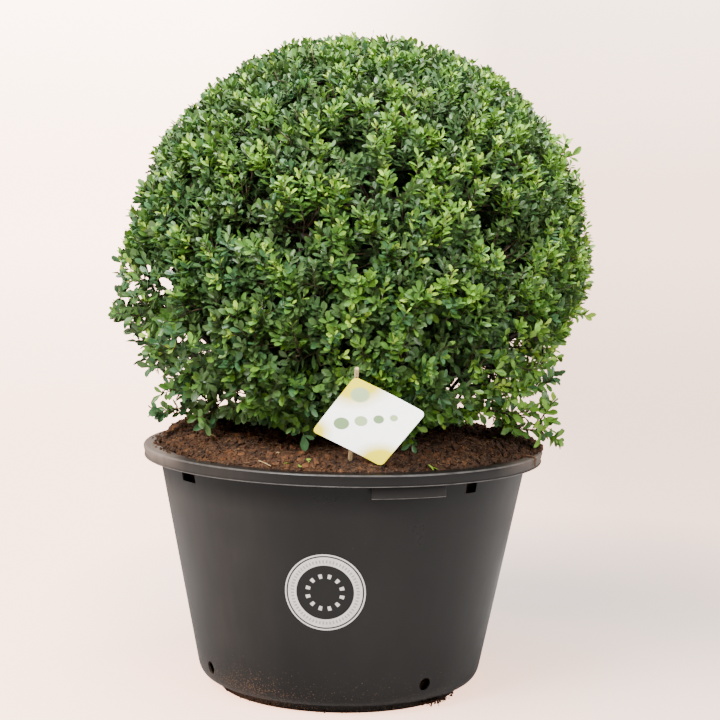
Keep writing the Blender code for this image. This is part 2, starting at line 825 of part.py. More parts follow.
def grow_stray(tip, tips, space, rng):
    """A shoot that stands out past the clipped face, with pairs of small leaves up it."""
    arm = min(tips, key=lambda point: (point - tip).length)
    along = (tip - arm).normalized()
    end = tip - along * (STRAY_LEAF - LEAF_SUNK)
    face = tangents(along)[0]
    parts = [twig_points(arm, end), (leaf_points(tip - along * STRAY_LEAF, tip, face), LEAF_FACES)]
    for step in range(1, STRAY_PAIRS + 1):
        root = end - along * (STRAY_STEP * (step - 0.5))
        for leaf in leaf_pair(root, along, face, STRAY_LEAF, rng):
            if space.holds(leaf, stray=True):
                parts.append((leaf, LEAF_FACES))
        face = along.cross(face)
    return parts


def make_mass(name, heading, headings, foot, limbs, rng, material):
    """One mass of foliage: stem, arms, sprays and strays, all joined to its core."""
    space = Space(heading, headings, limbs)
    start, direction = foot
    hub = crown_point(heading, HUB_SHARE)
    tips = arm_tips(heading)
    near = start + direction * GAP
    lead = near + direction * STEM_RADIUS
    bend = near + direction * ((hub - near).length / 2)
    stem = [near] + curve_points(lead, bend, hub, STEM_STEPS)
    parts = [tube_mesh(stem, even_taper(STEM_RADIUS, ARM_RADIUS, len(stem)), STEM_SIDES)]
    for tip in tips:
        parts.append(tube_mesh([hub, tip], [ARM_RADIUS, TWIG_RADIUS], TWIG_SIDES))
    for outward in spray_headings(heading, headings):
        parts += grow_spray(outward, tips, space, rng)
    for tip in STRAY_TIPS:
        if in_cell(tip, heading, headings):
            parts += grow_stray(tip, tips, space, rng)
    core = make_core(name, heading, headings, material)
    grown = [mesh_object(f"{name}_part", *part, material) for part in parts]
    combine(core, grown, "UNION")
    keep_body(core)
    return core


def make_stick(name, matrix, spare, material):
    """The label's stick, pointed at its foot; spare widens and lengthens it, to cut its socket."""
    bottom = -STICK_SUNK - spare
    levels = (bottom, bottom + STICK_POINT, STICK_LENGTH)
    path = [matrix @ Vector((0.0, 0.0, level)) for level in levels]
    radii = [STICK_POINT_RADIUS + spare, STICK_RADIUS + spare, STICK_RADIUS + spare]
    return limb(name, path, radii, STICK_SIDES, material)


def card_outline():
    """The card's outline in its own plane, its corners rounded."""
    width, height = CARD_SIZE
    points = []
    for quarter, (right, up) in enumerate(((1, 1), (-1, 1), (-1, -1), (1, -1))):
        middle = Vector((right * (width / 2 - CARD_CORNER), up * (height / 2 - CARD_CORNER)))
        for step in range(CARD_CORNER_STEPS + 1):
            angle = math.pi / 2 * (quarter + step / CARD_CORNER_STEPS)
            points.append(middle + Vector((math.cos(angle), math.sin(angle))) * CARD_CORNER)
    return points


def make_card(matrix, material):
    """The label's card, turned in its plane, its back just clear of the stick."""
    outline = card_outline()
    turn = Matrix.Rotation(math.radians(-CARD_TURN), 2)
    back = -STICK_RADIUS - GAP
    vertices = []
    for depth in (back, back - CARD_THICKNESS):
        for point in outline:
            flat = turn @ point
            local = Vector((flat.x + CARD_MIDDLE[0], depth, flat.y + CARD_MIDDLE[1]))
            vertices.append(matrix @ local)
    count = len(outline)
    faces = [list(range(count)), [count + index for index in range(count)][::-1]]
    for index in range(count):
        after = (index + 1) % count
        faces.append([index, count + index, count + after, after])
    return mesh_object("label_card", vertices, faces, material)


def build():
    """The whole plant in its pot."""
    clear_scene()
    bark = holly_bark()
    foliage = holly_foliage()
    make_pot(pot_plastic())
    soil = make_soil(potting_soil())

    label = label_matrix()
    bamboo = label_bamboo()
    combine(soil, [make_stick("stick_cutter", label, GAP, bamboo)], "DIFFERENCE")
    make_stick("label_stick", label, 0.0, bamboo)
    make_card(label, label_paper())

    trunk = trunk_path()
    path, radii, swell = trunk
    limb("trunk", path, radii, TRUNK_SIDES, bark, swell)
    limbs = [(path, radii)]
    feet = {"foliage_top": (path[-1], (path[-1] - path[-2]).normalized())}
    masses = lobes()
    for name, heading in masses.items():
        if name == "foliage_top":
            continue
        index = int(name[-1]) - 1
        bough = bough_path(heading, index, path)
        limbs.append((bough, even_taper(BOUGH_FOOT_RADIUS, BOUGH_TIP_RADIUS, len(bough))))
        feet[name] = (bough[-1], (bough[-1] - bough[-2]).normalized())
        make_bough(name.replace("foliage", "bough"), bough, trunk, bark)

    for index, (name, heading) in enumerate(masses.items()):
        headings = list(masses.values()) + below_crown(heading)
        rng = random.Random(SEED + index)
        make_mass(name, heading, headings, feet[name], limbs, rng, foliage)


build()
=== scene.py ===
"""Looks of a japanese holly clipped to a ball, in a dark grey nursery pot.

The file is laid out as an add-on and run as a script. Metres, +Z up, and the front of the plant faces -Y.
An azimuth is in degrees round the pot: 0 at the front, 90 at +X.
"""

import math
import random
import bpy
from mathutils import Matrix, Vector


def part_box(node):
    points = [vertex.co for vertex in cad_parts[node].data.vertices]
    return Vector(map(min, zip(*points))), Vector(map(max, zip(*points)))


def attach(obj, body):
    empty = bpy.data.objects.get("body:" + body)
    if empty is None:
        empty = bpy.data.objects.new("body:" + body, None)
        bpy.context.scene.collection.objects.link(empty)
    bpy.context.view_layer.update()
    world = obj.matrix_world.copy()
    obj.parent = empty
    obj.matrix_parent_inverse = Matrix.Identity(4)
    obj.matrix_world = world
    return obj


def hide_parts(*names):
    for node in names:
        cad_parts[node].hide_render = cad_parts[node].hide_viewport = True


bl_info = {
    "name": "Clipped holly in a nursery pot",
    "version": (1, 1, 0),
    "blender": (4, 5, 0),
    "location": "View3D > Sidebar > Holly",
    "description": "Builds the pot, soil, limbs, twigs, leaves and label of a clipped holly ball",
    "category": "Object",
}

import bmesh
import bpy
import numpy as np
from bpy.props import FloatProperty, FloatVectorProperty, IntProperty, PointerProperty
from mathutils import Euler, Matrix, Vector, noise

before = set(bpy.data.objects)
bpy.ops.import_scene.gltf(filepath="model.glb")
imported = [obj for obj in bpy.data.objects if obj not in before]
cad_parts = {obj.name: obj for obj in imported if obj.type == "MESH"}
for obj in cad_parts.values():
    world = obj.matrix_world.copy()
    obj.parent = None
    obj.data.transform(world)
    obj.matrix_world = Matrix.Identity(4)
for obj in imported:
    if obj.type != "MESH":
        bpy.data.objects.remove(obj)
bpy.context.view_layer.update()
POT_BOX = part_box("pot")
ROOT = "root"
GAP = 0.0003
SEED = 65

# Pot
POT_HEIGHT = POT_BOX[1][2]
RIM_RADIUS = (POT_BOX[1][0] - POT_BOX[0][0]) / 2
RIM_WIDTH = 0.024
RIM_ROUNDING = 0.0042
RIM_INNER_ROUNDING = 0.0015
SKIRT_HEIGHT = 0.018
SKIRT_SPREAD = 0.003
WALL = 0.003
WALL_TOP_RADIUS = 0.2785
WALL_FOOT_RADIUS = 0.2138
CORNER_HEIGHT = 0.036
CORNER_INSET = 0.028
CORNER_STEPS = 10
FOOT_RADIUS = 0.182
FOOT_HEIGHT = 0.0126
FOOT_CHAMFER = 0.002
FLOOR = 0.004
POT_ROUNDS = 176
GRIP_SLOTS = ((-53.5, 0.034, 0.329), (42.3, 0.020, 0.328), (126.5, 0.034, 0.329), (-137.7, 0.020, 0.328))
GRIP_SLOT_TOP = 0.346
DRAIN_AZIMUTHS = (-60.5, 35.7, 150.0)
DRAIN_HEIGHT = 0.0435
DRAIN_RADIUS = 0.0095
DRAIN_SIDES = 28
CUTTER_DEPTH = 0.024
LUG_AZIMUTHS = (19.5, 199.5)
LUG_SPAN = 22.0
LUG_RADIUS = 0.287
LUG_BOTTOM = 0.330
LUG_STEPS = 18

# Round label on the pot's wall, its rings as shares of its radius
BADGE_AZIMUTH = -4.6
BADGE_HEIGHT = 0.190
BADGE_RADIUS = 0.0575
BADGE_LIFT = 0.0004
BADGE_RINGS = 12
BADGE_ROUNDS = 96
BADGE_MARKS = 60

# Soil: radius and height of its face's rings, with clods and heaps: place, spreads and height of each
SOIL_RINGS = ((0.2747, 0.3620), (0.267, 0.3675), (0.248, 0.375), (0.222, 0.381), (0.190, 0.386))
SOIL_RINGS += ((0.150, 0.390), (0.105, 0.392), (0.056, 0.394), (0.0, 0.394))
SOIL_BUMP = 0.0035
SOIL_BUMP_SIZE = 0.045
SOIL_CRUMB_SHARE = 0.5
SOIL_CRUMB_SCALE = 2.3
HEAPS = (
    (0.258, 0.010, 0.026, 0.085, 0.024),
    (-0.215, 0.030, 0.065, 0.110, 0.016),
    (-0.150, -0.150, 0.060, 0.050, 0.004),
    (0.120, -0.200, 0.070, 0.040, 0.003),
)
HEAP_EDGE = 0.010
FOOT_CRUMBS = 160
SOIL_RECESS = 0.014
SPILL_AZIMUTH = 88.0
SPILL_SPREAD = 15.0
SOIL_ROUNDS = 220
SOIL_CIRCLES = 72
FALLEN_LEAVES = (
    (-0.057, -0.259), (-0.067, -0.252), (-0.045, -0.256), (0.128, -0.251), (0.135, -0.244),
    (-0.236, 0.085), (0.070, 0.215), (-0.120, 0.205), (0.205, 0.120), (-0.030, 0.240), (0.228, -0.060),
)
PALE_CHIPS = ((-0.177, -0.086), (0.150, 0.190), (-0.090, -0.215), (0.205, -0.130), (-0.190, 0.150))
STRAWS = (((-0.116, -0.236), (-0.098, -0.251)), ((0.16, 0.17), (0.18, 0.15)), ((-0.20, -0.09), (-0.185, -0.118)))
STRAND_AZIMUTHS = (69.0, -128.0)

# Crown: a ball that is a little taller above its middle than below it
CROWN_MIDDLE = Vector((0.012, 0.0, 0.600))
CROWN_RADIUS = 0.350
CROWN_RISE = 0.375
CROWN_DROP = 0.215
RISE_POWER = 2.15
DROP_POWER = 2.3

# Hollows between the sprays: azimuth, elevation and size
POCKETS = (
    (-3.7, 39.0, 0.028), (10.4, 31.0, 0.021), (35.0, 21.5, 0.034), (41.5, 14.5, 0.036), (0.2, 10.9, 0.020),
    (-28.3, 18.0, 0.026), (-14.7, 17.0, 0.030), (-27.8, 26.0, 0.020), (-10.4, -13.8, 0.036), (-6.7, 5.1, 0.020),
    (20.0, -6.0, 0.024), (-38.0, -3.0, 0.024), (29.0, -14.0, 0.030),
)
POCKET_COUNT = 34
POCKET_DEPTH = 0.140

# Tufts that the clipped face is made of
TUFT_COUNT = 760
TUFT_REACH = 0.022
TUFT_DEPTH = 0.048

# Thin places: azimuth, elevation, spread, the share of shoots kept and how far the face is pulled in
THIN_PLACES = (
    (-80.0, -4.0, 13.0, 0.45, -0.026), (-64.0, -15.0, 13.0, 0.32, 0.006), (-52.0, -27.0, 13.0, 0.35, 0.010),
    (-90.0, -22.0, 13.0, 0.28, 0.016), (-106.0, -5.0, 13.0, 0.45, -0.022), (-115.0, -22.0, 13.0, 0.35, 0.010),
    (76.0, -11.0, 11.0, 0.45, 0.055), (93.0, -11.0, 11.0, 0.45, 0.055), (110.0, -11.0, 11.0, 0.45, 0.055),
    (60.0, -28.0, 14.0, 0.25, 0.020), (86.0, -27.0, 14.0, 0.22, 0.015), (112.0, -27.0, 14.0, 0.28, 0.015),
    (136.0, -28.0, 14.0, 0.35, 0.010), (170.0, -18.0, 15.0, 0.60, 0.0),
)
OPEN_SPRAYS = 7

# Openings for the sky near the crown's edge: X and Z where they show, half spreads, number, radius and stretch
OPENINGS = (
    (-0.303, 0.567, 0.045, 0.070, 40, 0.0057, 1.0), (-0.253, 0.495, 0.060, 0.035, 30, 0.0057, 1.2),
    (-0.187, 0.437, 0.045, 0.012, 9, 0.0060, 1.5), (0.288, 0.520, 0.035, 0.014, 8, 0.0058, 1.4),
    (0.300, 0.490, 0.032, 0.030, 14, 0.0060, 1.6), (0.266, 0.458, 0.052, 0.028, 24, 0.0062, 1.8),
    (0.258, 0.428, 0.054, 0.013, 13, 0.0062, 1.8), (0.190, 0.445, 0.030, 0.022, 7, 0.0056, 1.3),
)
OPENING_STEPS = np.array([0.7549, 0.5698])
SPRAY_FLOOR = 0.414

# The crown's underside: height at places from left to right
BASE_PLACES = (-0.26, -0.17, -0.09, 0.10, 0.20, 0.30)
BASE_HEIGHTS = (0.436, 0.420, 0.416, 0.415, 0.420, 0.440)

# Trunk and boughs
TRUNK_FOOT = Vector((0.010, 0.003, 0.3943))
TRUNK_LOBES = 4
LEADER_SHARE = 0.44
LEADER_TIP_RADIUS = 0.008
TRUNK_STATIONS = (
    (0.000, 0.0340, 0.13, 0.000, 0.000),
    (0.009, 0.0275, 0.08, 0.000, 0.000),
    (0.026, 0.0240, 0.04, 0.001, 0.001),
    (0.060, 0.0220, 0.00, 0.003, 0.002),
    (0.100, 0.0190, 0.00, 0.004, 0.000),
    (0.145, 0.0150, 0.00, 0.001, -0.003),
    (0.210, 0.0120, 0.00, -0.003, -0.002),
    (0.300, 0.0100, 0.00, -0.001, 0.001),
)
TIER_COUNT = 5
TIER_ELEVATION = 26.565
HIGH_START = 180.0
LOW_START = 0.0
LOW_FORK = 0.456
HIGH_FORK = 0.502
FORK_STAGGER = 0.005
FORK_ORDER = 2
BOUGH_FOOT_RADIUS = 0.0105
BOUGH_TIP_RADIUS = 0.0062
LOW_TIP = (0.104, -0.086)
LOW_BEND = (0.045, -0.098)
HIGH_TIP = (0.152, 0.046)
HIGH_BEND = (0.078, -0.048)
LIMB_ROUNDS = 24
BOUGH_ROUNDS = 14
BOUGH_STEPS = 16
HUB_SHARE = 0.70
ARM_SHARE = 0.80
ARM_LEAN = 20.0
STEM_RADIUS = 0.0058
ARM_RADIUS = 0.0040
TWIG_RADIUS = 0.0024
SPRAY_TIP_RADIUS = 0.0016
SPRAY_COUNT = 134
SPRAY_SHARE = 0.90

# Sprigs that stand out from the ball, foot and tip, and the forks on them
SPRIGS = (
    ((-0.190, -0.040, 0.440), (-0.252, -0.060, 0.421)), ((-0.210, -0.080, 0.462), (-0.252, -0.100, 0.452)),
    ((-0.180, -0.110, 0.436), (-0.206, -0.140, 0.420)), ((-0.245, -0.020, 0.505), (-0.300, -0.030, 0.520)),
    ((0.210, -0.060, 0.434), (0.292, -0.070, 0.403)), ((0.240, -0.040, 0.452), (0.304, -0.050, 0.476)),
    ((0.215, -0.050, 0.428), (0.280, -0.060, 0.424)), ((0.284, -0.040, 0.576), (0.337, -0.050, 0.575)),
    ((0.305, -0.020, 0.795), (0.318, -0.028, 0.813)), ((-0.076, -0.198, 0.448), (-0.060, -0.222, 0.420)),
    ((0.088, -0.195, 0.446), (0.101, -0.216, 0.414)), ((-0.120, 0.285, 0.780), (-0.150, 0.322, 0.800)),
    ((0.115, 0.190, 0.490), (0.143, 0.227, 0.470)),
)
FORKS = (
    ((-0.248, -0.058, 0.421), (-0.266, -0.068, 0.415)), ((0.284, -0.069, 0.405), (0.302, -0.072, 0.434)),
    ((0.290, -0.070, 0.403), (0.304, -0.074, 0.392)),
)
SPRIG_COPIES = 2
BARE_TWIGS = 60

# Label on its stick
STICK_FOOT = Vector((0.0117, -0.2457, 0.3769))
STICK_LEAN = 37.0
STICK_SLANT = 2.9
STICK_TWIST = -7.0
STICK_LENGTH = 0.177
STICK_SUNK = 0.020
STICK_RADIUS = 0.0030
CARD_SIZE = (0.110, 0.126)
CARD_THICKNESS = 0.0008
CARD_CORNER = 0.007
CARD_TURN = 25.0
CARD_MIDDLE = (0.0215, 0.0853)
CARD_BOW = 0.0015
CARD_GRID = 18

# Camera, for a frame of 720 by 720 pixels
CAMERA_AIM = Vector((0.0227, 0.0, 0.4929))
CAMERA_DISTANCE = 3.0
CAMERA_ELEVATION = 5.847
CAMERA_ROLL = 1.187
CAMERA_FOCAL_PIXELS = 1994.5
FRAME_PIXELS = 720
SENSOR = 36.0

# Studio: a round floor whose edge curves up into a wall
FLOOR_RADIUS = 5.0
WALL_CURVE = 1.6
STUDIO_HEIGHT = 5.0


def tint(name, description, default):
    """A colour property."""
    return FloatVectorProperty(name=name, description=description, default=default, subtype="COLOR")


class HOLLY_PG_leaves(bpy.types.PropertyGroup):
    length: FloatProperty(name="Leaf length", description="Length of a middling leaf", default=0.0153, unit="LENGTH")
    width: FloatProperty(name="Leaf width", description="Width of a middling leaf", default=0.0071, unit="LENGTH")
    shoots: IntProperty(name="Shoots", description="Leafy shoots over the ball's face", default=8300)
    inner: IntProperty(name="Inner shoots", description="Shaded shoots behind the face", default=3600)
    per_shoot: IntProperty(name="Leaves a shoot", description="Leaves on each shoot of the face", default=12)
    per_inner: IntProperty(name="Leaves an inner shoot", description="Leaves on each shaded shoot", default=9)
    shoot_length: FloatProperty(
        name="Shoot length", description="Leafy length of a shoot", default=0.042, unit="LENGTH")
    shaded: tint("Shaded leaves", "Colour of the leaves behind the face", (0.052, 0.121, 0.034))
    old: tint("Old leaves", "Colour of the oldest leaves", (0.075, 0.148, 0.040))
    # The blue-green leaves' colour is partly their own and partly painted sheen, the bluish gloss of glossy leaves.
    blue: tint("Blue-green leaves", "Colour of the glossy blue-green leaves", (0.060, 0.152, 0.056))
    full: tint("Full leaves", "Colour of the full-grown leaves", (0.098, 0.230, 0.037))
    fresh: tint("Fresh leaves", "Colour of the fresher leaves", (0.163, 0.346, 0.039))
    young: tint("Young tips", "Colour of the young tips", (0.330, 0.540, 0.055))


class HOLLY_PG_wood(bpy.types.PropertyGroup):
    bark: tint("Bark", "Colour of trunk and boughs", (0.200, 0.155, 0.110))
    twig: tint("Twigs", "Colour of the twigs", (0.100, 0.069, 0.039))
    bamboo: tint("Label stick", "Colour of the label's stick", (0.720, 0.540, 0.270))


class HOLLY_PG_pot(bpy.types.PropertyGroup):
    plastic: tint("Plastic", "Colour of the clean plastic", (0.0122, 0.0114, 0.0110))
    dust: tint("Dust", "Colour of dust and dried soil", (0.270, 0.212, 0.176))
    soil: tint("Soil", "Colour of the potting soil", (0.090, 0.040, 0.0165))
    crumbs: IntProperty(name="Crumbs", description="Loose crumbs on the soil", default=7000)
    chips: IntProperty(name="Bark chips", description="Flat bits of bark on the soil", default=520)
    fibres: IntProperty(name="Fibres", description="Loose fibres on the soil", default=2500)


class HOLLY_PG_stage(bpy.types.PropertyGroup):
    paper: tint("Backdrop", "Colour of the pale floor and backdrop", (0.42, 0.405, 0.395))
    glow: tint("Backdrop glow", "Light that the overlit backdrop sends to the camera", (1.0, 0.61, 0.44))
    shade: tint("Floor shade", "Tint of the floor's soft shade beside the pot", (0.86, 0.59, 0.47))
    glow_strength: FloatProperty(name="Glow", description="Strength of the backdrop's glow", default=8.0)
    bounce: FloatProperty(
        name="Bounce", description="Share of the glow that falls on matt surfaces", default=0.068)
    sky: FloatProperty(name="Sky", description="Strength of the even light from above", default=0.90)
    key_power: FloatProperty(name="Main light", description="Power of the main soft light", default=225.0)
    fill_power: FloatProperty(name="Fill light", description="Power of the fill light", default=90.0)
    top_power: FloatProperty(name="Top light", description="Power of the light overhead", default=205.0)


def shader_group(name, inputs, outputs):
    """A shader node group with named inputs and outputs, built once."""
    tree = bpy.data.node_groups.new(name, "ShaderNodeTree")
    for label, kind, value in inputs:
        socket = tree.interface.new_socket(name=label, in_out="INPUT", socket_type=kind)
        socket.default_value = value
    for label, kind in outputs:
        tree.interface.new_socket(name=label, in_out="OUTPUT", socket_type=kind)
    return tree, tree.nodes.new("NodeGroupInput"), tree.nodes.new("NodeGroupOutput")


def ranged(tree, value, low, high, start=0.0, end=1.0):
    """A value mapped from one range to another; each end is a number or a socket."""
    node = tree.nodes.new("ShaderNodeMapRange")
    tree.links.new(value, node.inputs["Value"])
    for label, number in (("From Min", low), ("From Max", high), ("To Min", start), ("To Max", end)):
        join(tree, number, node.inputs[label])
    return node.outputs["Result"]


def join(tree, value, socket):
    """Link a socket, or set a number or colour, on an input."""
    if isinstance(value, bpy.types.NodeSocket):
        tree.links.new(value, socket)
    elif isinstance(value, (int, float)):
        socket.default_value = value
    else:
        socket.default_value = (*value[:3], 1.0)


def math_node(tree, operation, first, second):
    """One operation on two values."""
    node = tree.nodes.new("ShaderNodeMath")
    node.operation = operation
    join(tree, first, node.inputs[0])
    join(tree, second, node.inputs[1])
    return node.outputs["Value"]


def product(tree, value, *others):
    """Values multiplied together."""
    for other in others:
        value = math_node(tree, "MULTIPLY", value, other)
    return value


def mixed(tree, factor, first, second):
    """Two colours mixed by a factor; each is a socket or a plain colour."""
    node = tree.nodes.new("ShaderNodeMix")
    node.data_type = "RGBA"
    join(tree, factor, node.inputs[0])
    join(tree, first, node.inputs[6])
    join(tree, second, node.inputs[7])
    return node.outputs[2]


def noise_node(tree, scale, detail, stretch=None):
    """Noise on the object's own coordinates."""
    place = tree.nodes.new("ShaderNodeTexCoord")
    texture = tree.nodes.new("ShaderNodeTexNoise")
    join(tree, scale, texture.inputs["Scale"])
    texture.inputs["Detail"].default_value = detail
    if stretch is None:
        tree.links.new(place.outputs["Object"], texture.inputs["Vector"])
        return texture.outputs["Fac"]
    mapping = tree.nodes.new("ShaderNodeMapping")
    if isinstance(stretch, bpy.types.NodeSocket):
        tree.links.new(stretch, mapping.inputs["Scale"])
    else:
        mapping.inputs["Scale"].default_value = stretch
    tree.links.new(place.outputs["Object"], mapping.inputs["Vector"])
    tree.links.new(mapping.outputs["Vector"], texture.inputs["Vector"])
    return texture.outputs["Fac"]


def patchy_group():
    """Colour that turns darker and lighter in soft patches, and the patches' own mask."""
    tree = bpy.data.node_groups.get("patchy_tone")
    if tree:
        return tree
    inputs = (
        ("Color", "NodeSocketColor", (0.5, 0.5, 0.5, 1.0)), ("Scale", "NodeSocketFloat", 20.0),
        ("Stretch", "NodeSocketVector", (1.0, 1.0, 1.0)), ("Dark", "NodeSocketFloat", 0.7),
        ("Light", "NodeSocketFloat", 1.3),
    )
    tree, start, end = shader_group("patchy_tone", inputs, (("Color", "NodeSocketColor"), ("Mask", "NodeSocketFloat")))
    fac = noise_node(tree, start.outputs["Scale"], 4.0, start.outputs["Stretch"])
    mask = ranged(tree, fac, 0.32, 0.68)
    tone = ranged(tree, mask, 0.0, 1.0, start.outputs["Dark"], start.outputs["Light"])
    node = tree.nodes.new("ShaderNodeHueSaturation")
    tree.links.new(start.outputs["Color"], node.inputs["Color"])
    tree.links.new(tone, node.inputs["Value"])
    tree.links.new(node.outputs["Color"], end.inputs["Color"])
    tree.links.new(mask, end.inputs["Mask"])
    return tree


def speckle_group():
    """Small specks of another colour, dealt out by fine noise, thicker where the amount is higher."""
    tree = bpy.data.node_groups.get("speckle")
    if tree:
        return tree
    inputs = (
        ("Color", "NodeSocketColor", (0.5, 0.5, 0.5, 1.0)), ("Speck", "NodeSocketColor", (0.8, 0.8, 0.8, 1.0)),
        ("Scale", "NodeSocketFloat", 300.0), ("Amount", "NodeSocketFloat", 0.2),
    )
    tree, start, end = shader_group("speckle", inputs, (("Color", "NodeSocketColor"), ("Mask", "NodeSocketFloat")))
    fac = noise_node(tree, start.outputs["Scale"], 3.0)
    edge = ranged(tree, start.outputs["Amount"], 0.0, 1.0, 0.78, 0.40)
    above = math_node(tree, "SUBTRACT", fac, edge)
    mask = ranged(tree, above, 0.0, 0.05)
    tree.links.new(mixed(tree, mask, start.outputs["Color"], start.outputs["Speck"]), end.inputs["Color"])
    tree.links.new(mask, end.inputs["Mask"])
    return tree


def relief_group():
    """Height for a bump: coarse and fine noise together."""
    tree = bpy.data.node_groups.get("relief")
    if tree:
        return tree
    inputs = (
        ("Coarse", "NodeSocketFloat", 60.0), ("Fine", "NodeSocketFloat", 400.0),
        ("Stretch", "NodeSocketVector", (1.0, 1.0, 1.0)), ("Balance", "NodeSocketFloat", 0.35),
    )
    tree, start, end = shader_group("relief", inputs, (("Height", "NodeSocketFloat"),))
    coarse = noise_node(tree, start.outputs["Coarse"], 5.0, start.outputs["Stretch"])
    fine = noise_node(tree, start.outputs["Fine"], 3.0, start.outputs["Stretch"])
    total = math_node(tree, "ADD", coarse, product(tree, fine, start.outputs["Balance"]))
    tree.links.new(total, end.inputs["Height"])
    return tree


def placed(tree, group, **values):
    """A node group in a material, with its own values."""
    node = tree.nodes.new("ShaderNodeGroup")
    node.node_tree = group
    for label, value in values.items():
        socket = node.inputs[label]
        if label == "Stretch":
            socket.default_value = value
        else:
            join(tree, value, socket)
    return node


def principled(name, roughness):
    """A material with its Principled shader."""
    material = bpy.data.materials.new(name)
    material.use_nodes = True
    shader = material.node_tree.nodes["Principled BSDF"]
    shader.inputs["Roughness"].default_value = roughness
    return material, material.node_tree, shader


def finished(tree, shader, color, roughness, strength, distance, **relief):
    """Link a shader's colour and roughness, and a bump of coarse and fine noise."""
    tree.links.new(color, shader.inputs["Base Color"])
    tree.links.new(roughness, shader.inputs["Roughness"])
    node = tree.nodes.new("ShaderNodeBump")
    node.inputs["Strength"].default_value = strength
    node.inputs["Distance"].default_value = distance
    height = placed(tree, relief_group(), **relief).outputs["Height"]
    tree.links.new(height, node.inputs["Height"])
    tree.links.new(node.outputs["Normal"], shader.inputs["Normal"])


def object_axes(tree):
    """The object's own X, Y and Z."""
    place = tree.nodes.new("ShaderNodeTexCoord")
    split = tree.nodes.new("ShaderNodeSeparateXYZ")
    tree.links.new(place.outputs["Object"], split.inputs["Vector"])
    return split.outputs["X"], split.outputs["Y"], split.outputs["Z"]


def leaf_material(name, color, roughness):
    """A glossy leaf, lighter and duller on its underside, partly its own colour and partly painted light shining
    through, its green varied a little from place to place.
    """
    material, tree, shader = principled(name, roughness)
    shader.inputs["Specular IOR Level"].default_value = 0.37
    tone = placed(tree, patchy_group(), Color=color, Scale=75.0, Dark=0.76, Light=1.24)
    # The underside is lighter, partly the leaf's own lighter underside and partly painted light for light shining
    # through the leaf.
    underside_and_painted_through_light = (color[0] * 1.25 + 0.012, color[1] * 1.12 + 0.015, color[2] * 1.3 + 0.008)
    geometry = tree.nodes.new("ShaderNodeNewGeometry")
    both = mixed(tree, geometry.outputs["Backfacing"], tone.outputs["Color"], underside_and_painted_through_light)
    gloss = ranged(tree, tone.outputs["Mask"], 0.0, 1.0, roughness - 0.04, roughness + 0.12)
    finished(tree, shader, both, gloss, 0.15, 0.0003, Coarse=240.0, Fine=1100.0)
    return material


def wood_material(name, color, stretch=(1.0, 1.0, 0.25), depth=0.0015):
    """Bark or twig: cracks along the grain, darker in the cracks, with pale specks."""
    material, tree, shader = principled(name, 0.8)
    tone = placed(tree, patchy_group(), Color=color, Scale=150.0, Stretch=stretch, Dark=0.45, Light=1.5)
    pale = tuple(min(1.0, part * 2.0) for part in color)
    specks = placed(tree, speckle_group(), Color=tone.outputs["Color"], Speck=pale, Scale=600.0, Amount=0.3)
    rough = ranged(tree, tone.outputs["Mask"], 0.0, 1.0, 0.92, 0.62)
    finished(tree, shader, specks.outputs["Color"], rough, 0.7, depth, Coarse=150.0, Fine=700.0, Stretch=stretch)
    return material


def soil_material(name, color):
    """Moist peat in darker and lighter patches, painted lighter to the left and darker to the right as painted light
    and shade, with rust-brown specks.
    """
    material, tree, shader = principled(name, 0.95)
    # Painted light and shade: the soil is lighter to the left, where light falls on it, and darker to the right, where
    # the crown shades it.
    light = ranged(tree, object_axes(tree)[0], -0.06, 0.12, 1.35, 0.74)
    damp_and_painted_light = placed(tree, patchy_group(), Color=color, Scale=26.0, Dark=0.50, Light=light)
    crumbs = placed(tree, patchy_group(), Color=damp_and_painted_light.outputs["Color"], Scale=240.0, Dark=0.50, Light=1.45)
    rust = tuple(min(1.0, part * factor) for part, factor in zip(color, (2.2, 1.9, 1.7)))
    specks = placed(tree, speckle_group(), Color=crumbs.outputs["Color"], Speck=rust, Scale=520.0, Amount=0.42)
    rough = ranged(tree, damp_and_painted_light.outputs["Mask"], 0.0, 1.0, 0.82, 0.98)
    finished(tree, shader, specks.outputs["Color"], rough, 1.0, 0.004, Coarse=170.0, Fine=620.0, Balance=0.6)
    return material


